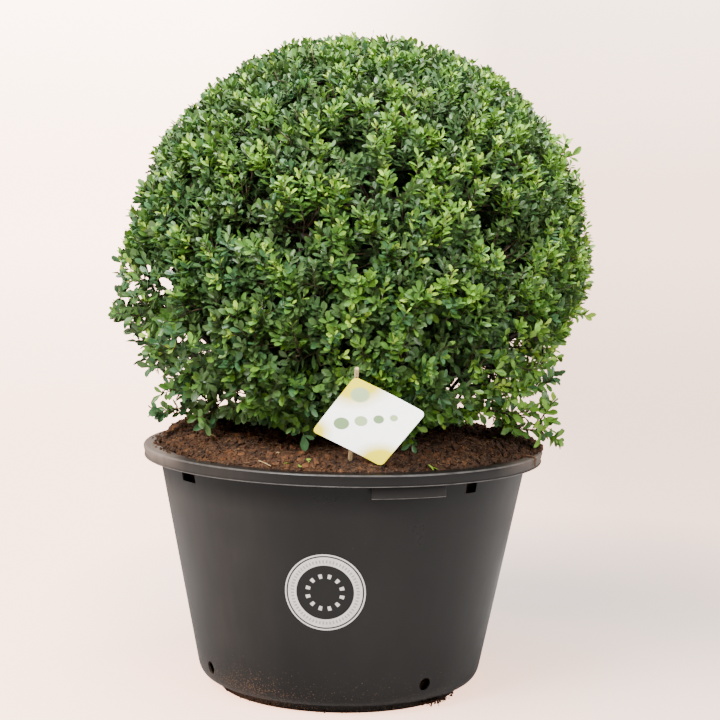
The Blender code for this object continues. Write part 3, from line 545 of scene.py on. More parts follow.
def pot_material(name, color, dust, painted_highlight_bands):
    """Dark moulded plastic with dust to the left and dried soil at the foot and on the rim, a painted shade on the wall
    just below the rim, and painted highlights along the rim's rounded top and the skirt's lower edge.
    """
    material, tree, shader = principled(name, 0.35)
    shader.inputs["Specular IOR Level"].default_value = 0.25
    width, _, height = object_axes(tree)
    # under: painted shade, strongest just below the skirt and fading down the wall, where the rim shades it
    under = product(tree, ranged(tree, height, 0.300, 0.346), math_node(tree, "LESS_THAN", height, 0.3477))
    tone = placed(tree, patchy_group(), Color=color, Scale=12.0, Stretch=(1.0, 1.0, 0.4), Dark=0.86, Light=1.14)
    cloud = placed(tree, patchy_group(), Color=color, Scale=7.0)
    streak = placed(tree, patchy_group(), Color=color, Scale=55.0, Stretch=(1.0, 1.0, 0.10))
    left = ranged(tree, width, -0.06, -0.28, 0.0, 0.20)
    foot = ranged(tree, height, 0.032, 0.010, 0.0, 0.02)
    ends = math_node(tree, "ADD", ranged(tree, width, -0.22, -0.28, 0.0, 1.4), ranged(tree, width, 0.22, 0.30, 0.0, 1.6))
    rim = product(tree, ranged(tree, height, 0.345, 0.366, 0.2, 1.0), ends)
    amount = math_node(tree, "ADD", math_node(tree, "ADD", left, foot), rim)
    streaky = product(tree, amount, ranged(tree, cloud.outputs["Mask"], 0.0, 1.0, 0.4, 1.0),
                      ranged(tree, streak.outputs["Mask"], 0.0, 1.0, 0.7, 1.0))
    dust_and_painted_light = mixed(tree, streaky, tone.outputs["Color"], dust)
    # The painted shade under the rim mixes the colour towards near-black.
    dust_and_painted_light = mixed(tree, product(tree, under, 0.80), dust_and_painted_light, (0.002, 0.002, 0.002))
    # Painted highlights: light grey bands at the given heights stand in for the light that the rim's rounded top and
    # the skirt's lower edge catch.
    for low, high, share in painted_highlight_bands:
        painted_highlight = product(tree, band_mask(tree, height, low, high, 0.0003),
                       ranged(tree, streak.outputs["Mask"], 0.0, 1.0, 0.4 * share, share))
        dust_and_painted_light = mixed(tree, painted_highlight, dust_and_painted_light, (0.30, 0.28, 0.265))
    low = ranged(tree, height, 0.100, 0.0, 0.06, ranged(tree, width, -0.02, -0.12, 0.50, 0.90))
    crumbs = placed(tree, speckle_group(), Color=dust_and_painted_light, Speck=(0.125, 0.072, 0.044), Scale=520.0, Amount=low)
    dull = math_node(tree, "ADD", ranged(tree, cloud.outputs["Mask"], 0.0, 1.0, 0.27, 0.38),
                     product(tree, streaky, 0.5))
    finished(tree, shader, crumbs.outputs["Color"], dull, 0.12, 0.0006, Coarse=45.0, Fine=900.0, Balance=0.5)
    return material


def straw_material(name, color):
    """Dry fibres and bamboo, streaked along their grain."""
    material, tree, shader = principled(name, 0.65)
    tone = placed(tree, patchy_group(), Color=color, Scale=420.0, Stretch=(1.0, 1.0, 0.12), Dark=0.6, Light=1.2)
    rough = ranged(tree, tone.outputs["Mask"], 0.0, 1.0, 0.75, 0.55)
    finished(tree, shader, tone.outputs["Color"], rough, 0.4, 0.0003, Coarse=300.0, Fine=1200.0,
             Stretch=(1.0, 1.0, 0.15))
    return material


def disc_mask(tree, uv, x, y, radius, soft=0.010):
    """One inside a disc on a flat map, zero outside it."""
    node = tree.nodes.new("ShaderNodeVectorMath")
    node.operation = "DISTANCE"
    node.inputs[1].default_value = (x, y, 0.0)
    tree.links.new(uv, node.inputs[0])
    return ranged(tree, node.outputs["Value"], radius, radius - soft)


def band_mask(tree, value, low, high, soft):
    """One between two values, zero outside them."""
    inner = ranged(tree, value, low - soft, low)
    outer = ranged(tree, value, high, high + soft, 1.0, 0.0)
    return product(tree, inner, outer)


def card_material(name):
    """A thin overlit card that glows to camera rays as painted light: white, with lemon corners and a row of green
    dots.
    """
    material, tree, shader = principled(name, 0.35)
    uv = tree.nodes.new("ShaderNodeUVMap")
    uv.uv_map = "card"
    spot = uv.outputs["UV"]
    lemon = (0.56, 0.47, 0.001)
    leaf = (0.13, 0.20, 0.09)
    pale_leaf = (0.26, 0.34, 0.17)
    paper = placed(tree, patchy_group(), Color=(0.90, 0.90, 0.87), Scale=90.0, Dark=0.96, Light=1.02)
    color = mixed(tree, disc_mask(tree, spot, 0.0, 1.0, 0.52, 0.22), paper.outputs["Color"], lemon)
    color = mixed(tree, disc_mask(tree, spot, 0.20, 0.80, 0.13, 0.03), color, pale_leaf)
    color = mixed(tree, disc_mask(tree, spot, 1.0, 0.0, 0.42, 0.18), color, lemon)
    color = mixed(tree, disc_mask(tree, spot, 0.0, 0.0, 0.28, 0.16), color, lemon)
    for x, y, radius, tint in ((0.24, 0.30, 0.10, leaf), (0.42, 0.46, 0.085, pale_leaf), (0.585, 0.60, 0.070, leaf),
                               (0.725, 0.72, 0.055, pale_leaf)):
        color = mixed(tree, disc_mask(tree, spot, x, y, radius), color, tint)
    # Painted light: the card's colours glow to camera rays only, standing in for the light that overexposes the thin
    # card and shines through it.
    tree.links.new(color, shader.inputs["Emission Color"])
    path = tree.nodes.new("ShaderNodeLightPath")
    glow = product(tree, path.outputs["Is Camera Ray"], 4.0)
    tree.links.new(glow, shader.inputs["Emission Strength"])
    rough = ranged(tree, paper.outputs["Mask"], 0.0, 1.0, 0.28, 0.40)
    finished(tree, shader, color, rough, 0.06, 0.0006, Coarse=30.0, Fine=900.0, Balance=0.2)
    return material


def badge_material(name):
    """A round stuck-on label: black, with a thin white ring, a broad one with grey ticks, and a ring of dots."""
    material, tree, shader = principled(name, 0.4)
    shader.inputs["Specular IOR Level"].default_value = 0.3
    uv = tree.nodes.new("ShaderNodeUVMap")
    uv.uv_map = "badge"
    split = tree.nodes.new("ShaderNodeSeparateXYZ")
    tree.links.new(uv.outputs["UV"], split.inputs["Vector"])
    radius = split.outputs["X"]
    turn = split.outputs["Y"]
    wave = math_node(tree, "FRACT", turn, 0.0)
    few = math_node(tree, "FRACT", product(tree, turn, 0.2), 0.0)
    ticks = product(tree, band_mask(tree, wave, 0.32, 0.68, 0.08), band_mask(tree, radius, 0.775, 0.845, 0.01))
    dots = product(tree, band_mask(tree, few, 0.34, 0.66, 0.05), band_mask(tree, radius, 0.38, 0.48, 0.01))
    black = placed(tree, patchy_group(), Color=(0.009, 0.0085, 0.008), Scale=40.0, Dark=0.9, Light=1.2)
    white = placed(tree, patchy_group(), Color=(0.74, 0.72, 0.70), Scale=70.0, Dark=0.88, Light=1.05)
    grey = (0.36, 0.35, 0.34)
    color = mixed(tree, band_mask(tree, radius, 0.965, 1.1, 0.008), black.outputs["Color"], white.outputs["Color"])
    color = mixed(tree, band_mask(tree, radius, 0.715, 0.920, 0.008), color, white.outputs["Color"])
    color = mixed(tree, ticks, color, grey)
    color = mixed(tree, dots, color, white.outputs["Color"])
    rough = ranged(tree, black.outputs["Mask"], 0.0, 1.0, 0.32, 0.48)
    finished(tree, shader, color, rough, 0.08, 0.0004, Coarse=45.0, Fine=900.0, Balance=0.4)
    return material


def backdrop_material(name, look):
    """Pale studio paper, overlit as the camera sees it, matt to all other light and dim in front of the plant."""
    material, tree, shader = principled(name, 0.95)
    shader.inputs["Specular IOR Level"].default_value = 0.0
    across, deep, height = object_axes(tree)
    tone = placed(tree, patchy_group(), Color=look.paper, Scale=0.6, Dark=0.985, Light=1.0)
    dim = tuple(part * 0.35 for part in look.paper)
    near = ranged(tree, deep, -1.6, -0.5)
    tree.links.new(mixed(tree, near, dim, tone.outputs["Color"]), shader.inputs["Base Color"])
    high = ranged(tree, height, 0.7, 1.6)
    place = tree.nodes.new("ShaderNodeTexCoord")
    shade = disc_mask(tree, place.outputs["Object"], 0.35, 0.62, 0.90, 0.80)
    close = disc_mask(tree, place.outputs["Object"], 0.0, 0.0, 4.8, 4.0)
    tint = mixed(tree, close, tuple(part ** 0.86 for part in look.glow), tuple(part ** 1.18 for part in look.glow))
    tint = mixed(tree, high, mixed(tree, shade, tint, look.shade), tuple(part ** 0.6 for part in look.glow))
    tree.links.new(tint, shader.inputs["Emission Color"])
    path = tree.nodes.new("ShaderNodeLightPath")
    bounced = product(tree, path.outputs["Is Diffuse Ray"], look.bounce)
    seen = math_node(tree, "ADD", path.outputs["Is Camera Ray"], bounced)
    glow = product(tree, seen, look.glow_strength, ranged(tree, across, -0.55, 0.65, 1.0, 0.46),
                   ranged(tree, height, 0.0, 0.4, 0.78, 1.0), ranged(tree, high, 0.0, 1.0, 1.0, 1.32),
                   ranged(tree, close, 0.0, 1.0, 1.0, 0.84), ranged(tree, shade, 0.0, 1.0, 1.0, 0.35))
    tree.links.new(glow, shader.inputs["Emission Strength"])
    return material


def linked(name, data):
    """A new object in the scene."""
    item = bpy.data.objects.new(name, data)
    bpy.context.scene.collection.objects.link(item)
    return item


def mesh_piece(name, vertices, faces, material, smooth=True, angle=None):
    """An object from points and faces."""
    mesh = bpy.data.meshes.new(name)
    mesh.from_pydata([tuple(point) for point in vertices], [], faces)
    mesh.materials.append(material)
    if smooth:
        mesh.shade_smooth()
    if angle is not None:
        mesh.set_sharp_from_angle(angle=math.radians(angle))
    return linked(name, mesh)


def recalculate(item):
    """Turn a closed shape's faces outwards."""
    shape = bmesh.new()
    shape.from_mesh(item.data)
    bmesh.ops.recalc_face_normals(shape, faces=shape.faces)
    shape.to_mesh(item.data)
    shape.free()


def dress(item, slot, *nodes):
    """Fasten a piece to the plant and hide the solids it stands for; the slot is not used."""
    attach(item, ROOT)
    if nodes:
        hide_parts(*nodes)


def bearing(azimuth):
    """Unit vector on the level at an azimuth."""
    angle = math.radians(azimuth)
    return Vector((math.sin(angle), -math.cos(angle), 0.0))


def around(azimuth, radius, level):
    """Points round the pot, from rows of azimuths in radians, radii and heights."""
    return np.stack([radius * np.sin(azimuth), -radius * np.cos(azimuth), level], axis=1)


def tangents(heading):
    """Two unit vectors square to a heading."""
    upright = Vector((0, 0, 1)) if abs(heading.z) < 0.9 else Vector((0, 1, 0))
    first = (upright - heading * upright.dot(heading)).normalized()
    return first, heading.cross(first)


def curve_points(start, bend, end, steps):
    """Points of a quadratic curve."""
    shares = [step / steps for step in range(steps + 1)]
    return [start * (1 - t) ** 2 + bend * (2 * t * (1 - t)) + end * t ** 2 for t in shares]


def arc_points(middle, radius, start, end, steps):
    """Points of an arc in the section's plane, from start to end in degrees."""
    angles = [math.radians(start + (end - start) * step / steps) for step in range(steps + 1)]
    return [(middle[0] + radius * math.cos(a), middle[1] + radius * math.sin(a)) for a in angles]


def crown_reaches(rows):
    """How far the clipped crown reaches from its middle along rows of unit vectors."""
    across = np.hypot(rows[:, 0], rows[:, 1]) / CROWN_RADIUS
    rising = rows[:, 2] > 0
    along = np.where(rising, rows[:, 2] / CROWN_RISE, -rows[:, 2] / CROWN_DROP)
    power = np.where(rising, RISE_POWER, DROP_POWER)
    return (across ** power + along ** power) ** (-1 / power)


def crown_point(heading, share):
    """The point at a share of the crown's reach."""
    reach = crown_reaches(np.array([heading]))[0]
    return CROWN_MIDDLE + heading * float(reach * share)


def masses():
    """Every mass's name and heading."""
    found = {"foliage_top": Vector((0.0, 0.0, 1.0))}
    turn = 360.0 / TIER_COUNT
    rise = math.radians(TIER_ELEVATION)
    for tier, start, side in (("high", HIGH_START, 1), ("low", LOW_START, -1)):
        for index in range(TIER_COUNT):
            out = bearing(start + turn * index) * math.cos(rise)
            found[f"foliage_{tier}_{index + 1}"] = out + Vector((0, 0, side * math.sin(rise)))
    return found


def wall_slope():
    """How far the pot's wall spreads for each metre of height."""
    return (WALL_TOP_RADIUS - WALL_FOOT_RADIUS) / (POT_HEIGHT - WALL - CORNER_HEIGHT)


def wall_radius(height):
    """Outer radius of the pot's wall at a height."""
    return WALL_FOOT_RADIUS + wall_slope() * (height - CORNER_HEIGHT)


def corner_points(inset, lift):
    """The pot's rounded lower corner, from the foot out to the wall."""
    start = Vector((WALL_FOOT_RADIUS - CORNER_INSET - inset, FOOT_HEIGHT + lift))
    end = Vector((WALL_FOOT_RADIUS - inset, CORNER_HEIGHT))
    bend = Vector((end.x - wall_slope() * (end.y - start.y), start.y))
    return [(point.x, point.y) for point in curve_points(start, bend, end, CORNER_STEPS)]


def pot_profile():
    """The pot's section: underside, foot, corner, wall, hollow skirt, rounded rim, then down inside."""
    under = POT_HEIGHT - WALL
    skirt = POT_HEIGHT - SKIRT_HEIGHT
    foot = RIM_RADIUS - SKIRT_SPREAD
    chamfer = FOOT_CHAMFER * 0.3
    outside = [(0.0, 0.0), (FOOT_RADIUS - FOOT_CHAMFER, 0.0), (FOOT_RADIUS - chamfer, chamfer)]
    outside += [(FOOT_RADIUS, FOOT_CHAMFER), (FOOT_RADIUS, FOOT_HEIGHT - chamfer)] + corner_points(0.0, 0.0)
    wall = [(wall_radius(height), height) for height in np.linspace(0.06, under - 0.002, 14)]
    fillet = [(WALL_TOP_RADIUS + 0.0005, under - 0.0006), (WALL_TOP_RADIUS + 0.002, under)]
    lip = [(RIM_RADIUS - WALL - RIM_ROUNDING / 2, under), (foot - WALL, skirt + 0.0006), (foot - WALL / 2, skirt)]
    lip += [(foot + 0.0006, skirt), (foot + 0.0014, skirt + 0.0004), (foot + 0.0016, skirt + 0.0010)]
    lip += [(foot + 0.0012, skirt + 0.0016), (foot + 0.0002, skirt + 0.0021)]
    edge = arc_points((RIM_RADIUS - RIM_ROUNDING, POT_HEIGHT - RIM_ROUNDING), RIM_ROUNDING, 0, 90, 9)
    flat = [(RIM_RADIUS - RIM_WIDTH / 2, POT_HEIGHT)]
    corner = (RIM_RADIUS - RIM_WIDTH + RIM_INNER_ROUNDING, POT_HEIGHT - RIM_INNER_ROUNDING)
    inner = arc_points(corner, RIM_INNER_ROUNDING, 90, 180, 4)
    inside = [(FOOT_RADIUS - WALL, FLOOR), (0.0, FLOOR)]
    return outside + wall + fillet + lip + edge + flat + inner + corner_points(WALL, WALL)[::-1] + inside


def ring_mesh(rings):
    """Points and faces from rings of points, each of one point or of the same many."""
    steps = max(len(ring) for ring in rings)
    vertices = []
    marks = []
    for ring in rings:
        marks.append([len(vertices) + step for step in range(len(ring))])
        vertices.extend(ring)
    faces = []
    for low, high in zip(marks, marks[1:]):
        for step in range(steps):
            after = (step + 1) % steps
            corners = [low[step % len(low)], low[after % len(low)], high[after % len(high)], high[step % len(high)]]
            faces.append(list(dict.fromkeys(corners)))
    return vertices, faces


def turned(name, profile, material, steps, angle=35.0):
    """A section from the axis, turned about Z."""
    turns = [2 * math.pi * step / steps for step in range(steps)]
    rings = []
    for radius, height in profile:
        around = turns if radius > 0 else turns[:1]
        rings.append([(radius * math.cos(turn), radius * math.sin(turn), height) for turn in around])
    return mesh_piece(name, *ring_mesh(rings), material, True, angle)


def tube(path, radii, sides, lobes=None, rough=0.0):
    """Points and faces of a tapering limb along a path, its bark made uneven by rough."""
    vertices = []
    normal = None
    for index, point in enumerate(path):
        ahead = path[min(index + 1, len(path) - 1)]
        behind = path[max(index - 1, 0)]
        tangent = (ahead - behind).normalized()
        if normal is None:
            normal = tangents(tangent)[0]
        normal = (normal - tangent * normal.dot(tangent)).normalized()
        across = tangent.cross(normal)
        for side in range(sides):
            angle = 2 * math.pi * side / sides
            swell = 1 + (lobes[index] * math.cos(TRUNK_LOBES * angle) if lobes else 0)
            outward = normal * math.cos(angle) + across * math.sin(angle)
            spot = point + outward * (radii[index] * swell)
            if rough:
                relief = 0.6 * noise.noise(spot * 130) + 0.4 * noise.noise(spot * 420)
                spot += outward * (rough * radii[index] * relief)
            vertices.append(spot)
    faces = [list(range(sides))[::-1]]
    for ring in range(len(path) - 1):
        for side in range(sides):
            after = (side + 1) % sides
            first = ring * sides
            faces.append([first + side, first + after, first + sides + after, first + sides + side])
    last = (len(path) - 1) * sides
    faces.append([last + side for side in range(sides)])
    return vertices, faces


def joined(shapes):
    """Several point-and-face shapes as one."""
    vertices = []
    faces = []
    for points, sides in shapes:
        first = len(vertices)
        vertices.extend(points)
        faces.extend([[first + corner for corner in face] for face in sides])
    return vertices, faces


def finer(path, values, steps):
    """A path and its values with more stations between."""
    points = []
    numbers = []
    for index in range(len(path) - 1):
        for step in range(steps):
            share = step / steps
            points.append(path[index].lerp(path[index + 1], share))
            numbers.append(tuple(a + (b - a) * share for a, b in zip(values[index], values[index + 1])))
    return points + [path[-1]], numbers + [values[-1]]


def trunk_path():
    """Path of the trunk and its leader, with the radius and lobe at each station."""
    path = [TRUNK_FOOT + Vector((x, y, height)) for height, _, _, x, y in TRUNK_STATIONS]
    path.append(crown_point(Vector((0, 0, 1)), LEADER_SHARE))
    values = [(radius, lobe) for _, radius, lobe, _, _ in TRUNK_STATIONS] + [(LEADER_TIP_RADIUS, 0.0)]
    return path, values


def axis_point(path, height):
    """The point of a rising path at a height."""
    for low, high in zip(path, path[1:]):
        if low.z <= height <= high.z:
            return low.lerp(high, (height - low.z) / (high.z - low.z))
    return path[-1]


def bough_path(heading, index, trunk):
    """Path of a bough from the trunk's axis to the foot of its mass."""
    low = heading.z < 0
    fork = (LOW_FORK if low else HIGH_FORK) + FORK_STAGGER * (FORK_ORDER * index % TIER_COUNT)
    out = Vector((heading.x, heading.y, 0)).normalized()
    tip_out, tip_up = LOW_TIP if low else HIGH_TIP
    bend_out, bend_up = LOW_BEND if low else HIGH_BEND
    tip = CROWN_MIDDLE + out * tip_out + Vector((0, 0, tip_up))
    bend = CROWN_MIDDLE + out * bend_out + Vector((0, 0, bend_up))
    return curve_points(axis_point(trunk, fork), bend, tip, BOUGH_STEPS)


def limb_layout():
    """Trunk path and values, bough paths, and where each mass's stem starts and heads."""
    path, values = trunk_path()
    feet = {"foliage_top": (path[-1], (path[-1] - path[-2]).normalized())}
    boughs = {}
    for name, heading in masses().items():
        if name != "foliage_top":
            bough = bough_path(heading, int(name[-1]) - 1, path)
            boughs[name.replace("foliage", "bough")] = bough
            feet[name] = (bough[-1], (bough[-1] - bough[-2]).normalized())
    return path, values, boughs, feet


def mound(radius):
    """Height of the soil's mound at a radius, before clods."""
    near = [ring[0] for ring in SOIL_RINGS[::-1]]
    heights = [ring[1] for ring in SOIL_RINGS[::-1]]
    return np.interp(radius, near, heights)


def heaped(x, y):
    """How much the heaps add to the soil's height."""
    total = 0.0
    for middle_x, middle_y, wide, deep, height in HEAPS:
        total = total + height * np.exp(-((x - middle_x) / wide) ** 2 - ((y - middle_y) / deep) ** 2)
    return total


def soil_height(x, y):
    """Height of the soil's face with clods and heaps."""
    radius = math.hypot(x, y)
    point = Vector((x, y, 0.0)) / SOIL_BUMP_SIZE
    rough = noise.noise(point) + SOIL_CRUMB_SHARE * noise.noise(point * SOIL_CRUMB_SCALE)
    edge = min(1.0, max(0.0, (SOIL_RINGS[0][0] - radius) / HEAP_EDGE))
    return float(mound(radius)) + (SOIL_BUMP * rough + float(heaped(x, y))) * edge


def ground_under(points):
    """Height that leaves keep above: the soil, or the rim; far below it outside the pot."""
    radius = np.hypot(points[:, 0], points[:, 1])
    inside = mound(radius) + SOIL_BUMP + heaped(points[:, 0], points[:, 1])
    rim = np.where(radius < RIM_RADIUS + GAP, POT_HEIGHT, 0.0)
    return np.where(radius < SOIL_RINGS[0][0], np.maximum(inside, POT_HEIGHT - 0.002), rim)


def crown_base(points):
    """Height of the crown's underside over each point, higher to the left and right."""
    level = np.interp(points[:, 0], BASE_PLACES, BASE_HEIGHTS)
    return level + 0.008 * np.sin(points[:, 0] * 61) * np.cos(points[:, 1] * 53)


def unit(rows):
    """Rows made unit vectors."""
    return rows / np.maximum(1e-9, np.linalg.norm(rows, axis=1, keepdims=True))


def quaternions(across, along, upward):
    """Turns that carry X, Y and Z onto three rows of unit vectors."""
    matrix = np.stack([across, along, upward], axis=2)
    m00, m11, m22 = matrix[:, 0, 0], matrix[:, 1, 1], matrix[:, 2, 2]
    w = np.sqrt(np.maximum(0, 1 + m00 + m11 + m22)) / 2
    x = np.copysign(np.sqrt(np.maximum(0, 1 + m00 - m11 - m22)) / 2, matrix[:, 2, 1] - matrix[:, 1, 2])
    y = np.copysign(np.sqrt(np.maximum(0, 1 - m00 + m11 - m22)) / 2, matrix[:, 0, 2] - matrix[:, 2, 0])
    z = np.copysign(np.sqrt(np.maximum(0, 1 - m00 - m11 + m22)) / 2, matrix[:, 1, 0] - matrix[:, 0, 1])
    return unit(np.stack([w, x, y, z], axis=1))


def scatter_tree():
    """A geometry node group that sets a shape on every point, by the point's own turn and size."""
    tree = bpy.data.node_groups.get("shapes_on_points")
    if tree:
        return tree
    tree = bpy.data.node_groups.new("shapes_on_points", "GeometryNodeTree")
    tree.interface.new_socket(name="Geometry", in_out="INPUT", socket_type="NodeSocketGeometry")
    tree.interface.new_socket(name="Geometry", in_out="OUTPUT", socket_type="NodeSocketGeometry")
    for name, kind in (("Shape", "NodeSocketObject"), ("Scale", "NodeSocketFloat"), ("Material", "NodeSocketMaterial")):
        tree.interface.new_socket(name=name, in_out="INPUT", socket_type=kind)
    nodes = tree.nodes
    start = nodes.new("NodeGroupInput")
    end = nodes.new("NodeGroupOutput")
    shape = nodes.new("GeometryNodeObjectInfo")
    place = nodes.new("GeometryNodeInstanceOnPoints")
    turn = nodes.new("GeometryNodeInputNamedAttribute")
    turn.data_type = "QUATERNION"
    turn.inputs["Name"].default_value = "turn"
    size = nodes.new("GeometryNodeInputNamedAttribute")
    size.data_type = "FLOAT_VECTOR"
    size.inputs["Name"].default_value = "size"
    scaled = nodes.new("ShaderNodeVectorMath")
    scaled.operation = "SCALE"
    real = nodes.new("GeometryNodeRealizeInstances")
    finish = nodes.new("GeometryNodeSetMaterial")
    for source, output, target, entry in (
        (start, "Geometry", place, "Points"), (start, "Shape", shape, "Object"),
        (shape, "Geometry", place, "Instance"), (turn, "Attribute", place, "Rotation"),
        (size, "Attribute", scaled, 0), (start, "Scale", scaled, "Scale"), (scaled, "Vector", place, "Scale"),
        (place, "Instances", real, "Geometry"), (real, "Geometry", finish, "Geometry"),
        (start, "Material", finish, "Material"), (finish, "Geometry", end, "Geometry"),
    ):
        tree.links.new(source.outputs[output], target.inputs[entry])
    return tree


def scattered(name, shape, places, turns, sizes, material):
    """One joined mesh with a copy of a shape at each place."""
    points = bpy.data.meshes.new(name + "_points")
    points.vertices.add(len(places))
    points.vertices.foreach_set("co", np.asarray(places, dtype=np.float32).ravel())
    turn = points.attributes.new("turn", "QUATERNION", "POINT")
    turn.data.foreach_set("value", np.asarray(turns, dtype=np.float32).ravel())
    size = points.attributes.new("size", "FLOAT_VECTOR", "POINT")
    size.data.foreach_set("vector", np.asarray(sizes, dtype=np.float32).ravel())
    holder = linked(name + "_points", points)
    modifier = holder.modifiers.new("scatter", "NODES")
    tree = scatter_tree()
    modifier.node_group = tree
    sockets = {item.name: item.identifier for item in tree.interface.items_tree if item.in_out == "INPUT"}
    modifier[sockets["Shape"]] = shape
    modifier[sockets["Scale"]] = 1.0
    modifier[sockets["Material"]] = material
    bpy.context.view_layer.update()
    depsgraph = bpy.context.evaluated_depsgraph_get()
    mesh = bpy.data.meshes.new_from_object(holder.evaluated_get(depsgraph))
    bpy.data.objects.remove(holder, do_unlink=True)
    for attribute in ("turn", "size"):
        if attribute in mesh.attributes:
            mesh.attributes.remove(mesh.attributes[attribute])
    mesh.name = name
    if not mesh.materials:
        mesh.materials.append(material)
    return linked(name, mesh)


def leaf_shape(length, width):
    """A small obovate leaf along +Y, its face up +Z, a little cupped, its tip turned down."""
    outline = ((0.27, 0.52, 0.025), (0.59, 1.00, 0.045), (0.88, 0.66, 0.005))
    vertices = [(0.0, 0.0, 0.0)]
    vertices += [(wide * width / 2, along * length, rise * length) for along, wide, rise in outline]
    vertices.append((0.0, length, -0.035 * length))
    vertices += [(-wide * width / 2, along * length, rise * length) for along, wide, rise in outline[::-1]]
    vertices.append((0.0, 0.57 * length, -0.030 * length))
    middle = len(vertices) - 1
    faces = [(middle, step, (step + 1) % middle) for step in range(middle)]
    return vertices, faces


def broad_leaf_shape(length, width):
    """A plainer leaf of four faces for the shade behind the crown's face."""
    vertices = [(0, 0, 0), (width / 2, 0.6 * length, 0.03 * length), (0, length, 0)]
    vertices += [(-width / 2, 0.6 * length, 0.03 * length), (0, 0.55 * length, -0.04 * length)]
    return vertices, [(4, 0, 1), (4, 1, 2), (4, 2, 3), (4, 3, 0)]


def lump_shape():
    """A rough crumb of a dozen faces, one unit across."""
    shape = bmesh.new()
    bmesh.ops.create_cube(shape, size=0.8)
    bmesh.ops.triangulate(shape, faces=shape.faces)
    rough = random.Random(SEED)
    for vertex in shape.verts:
        vertex.co *= rough.uniform(0.55, 1.15)
    mesh = bpy.data.meshes.new("lump")
    shape.to_mesh(mesh)
    shape.free()
    return linked("lump", mesh)


class HOLLY_OT_pot(bpy.types.Operator):
    """Build the nursery pot with its slots, drain holes and lugs"""
    bl_idname = "holly.pot"
    bl_label = "Pot"

    def execute(self, context):
        look = context.scene.holly_pot
        # Heights and shares of the painted highlight bands: the skirt's lower edge, then the rim's rounded top.
        painted_highlight_bands = ((0.3480, 0.3492, 0.45), (0.3634, 0.3652, 0.32))
        plastic = pot_material("pot_plastic", look.plastic, look.dust, painted_highlight_bands)
        pot = turned("pot_shell", pot_profile(), plastic, POT_ROUNDS)
        group = bpy.data.collections.new("pot_cutters")
        context.scene.collection.children.link(group)
        cutters = self.slots() + self.drains()
        for cutter in cutters:
            group.objects.link(cutter)
        boolean = pot.modifiers.new("cut", "BOOLEAN")
        boolean.operation = "DIFFERENCE"
        boolean.operand_type = "COLLECTION"
        boolean.collection = group
        boolean.solver = "EXACT"
        depsgraph = context.evaluated_depsgraph_get()
        mesh = bpy.data.meshes.new_from_object(pot.evaluated_get(depsgraph))
        pot.modifiers.clear()
        pot.data = mesh
        for cutter in cutters:
            bpy.data.objects.remove(cutter, do_unlink=True)
        bpy.data.collections.remove(group)
        mesh.shade_smooth()
        mesh.set_sharp_from_angle(angle=math.radians(35))
        dress(pot, "pot", "pot")
        # The lugs take the plastic at 3.2 times its colour: painted light that shows them lighter than the wall and
        # outweighs the painted shade under the rim; a painted highlight band runs along each lug's lower edge.
        lug_painted_light_plastic = tuple(part * 3.2 for part in look.plastic)
        plastic = pot_material("lug_plastic_painted_light", lug_painted_light_plastic, look.dust, ((LUG_BOTTOM - 0.001, LUG_BOTTOM + 0.0006, 0.6),))
        for index, azimuth in enumerate(LUG_AZIMUTHS):
            self.lug(index, azimuth, plastic)
        return {"FINISHED"}

    def slots(self):
        """Blocks that cut the grip slots."""
        found = []
        for azimuth, width, bottom in GRIP_SLOTS:
            middle = (GRIP_SLOT_TOP + bottom) / 2
            place = Matrix.Translation(bearing(azimuth) * (wall_radius(middle) - WALL) + Vector((0, 0, middle)))
            place = place @ Matrix.Rotation(math.radians(azimuth), 4, "Z")
            block = Matrix.Diagonal((width, CUTTER_DEPTH, GRIP_SLOT_TOP - bottom, 1.0))
            shape = bmesh.new()
            bmesh.ops.create_cube(shape, size=1.0)
            bmesh.ops.transform(shape, matrix=place @ block, verts=shape.verts)
            mesh = bpy.data.meshes.new("slot_cutter")
            shape.to_mesh(mesh)
            shape.free()
            found.append(bpy.data.objects.new("slot_cutter", mesh))
        return found

    def drains(self):
        """Round bars that cut the drain holes."""
        found = []
        for azimuth in DRAIN_AZIMUTHS:
            place = bearing(azimuth) * (wall_radius(DRAIN_HEIGHT) - WALL) + Vector((0, 0, DRAIN_HEIGHT))
            reach = bearing(azimuth) * (CUTTER_DEPTH / 2)
            points, faces = tube([place - reach, place + reach], [DRAIN_RADIUS] * 2, DRAIN_SIDES)
            mesh = bpy.data.meshes.new("drain_cutter")
            mesh.from_pydata([tuple(point) for point in points], [], faces)
            found.append(bpy.data.objects.new("drain_cutter", mesh))
        return found

    def lug(self, index, azimuth, plastic):
        """A curved plate that hangs inside the skirt."""
        vertices = []
        for step in range(LUG_STEPS + 1):
            out = bearing(azimuth + LUG_SPAN * (step / LUG_STEPS - 0.5))
            corners = ((-1, LUG_BOTTOM), (1, LUG_BOTTOM), (1, POT_HEIGHT - WALL), (-1, POT_HEIGHT - WALL))
            for side, height in corners:
                vertices.append(out * (LUG_RADIUS + side * WALL / 2) + Vector((0, 0, height)))
        faces = [[3, 2, 1, 0], [4 * LUG_STEPS + side for side in range(4)]]
        for step in range(LUG_STEPS):
            for side in range(4):
                after = (side + 1) % 4
                first = 4 * step
                faces.append([first + side, first + after, first + 4 + after, first + 4 + side])
        item = mesh_piece(f"pot_lug_{index + 1}", vertices, faces, plastic)
        recalculate(item)
        bevel = item.modifiers.new("soft_edges", "BEVEL")
        bevel.width = 0.0005
        bevel.segments = 2
        dress(item, "pot")


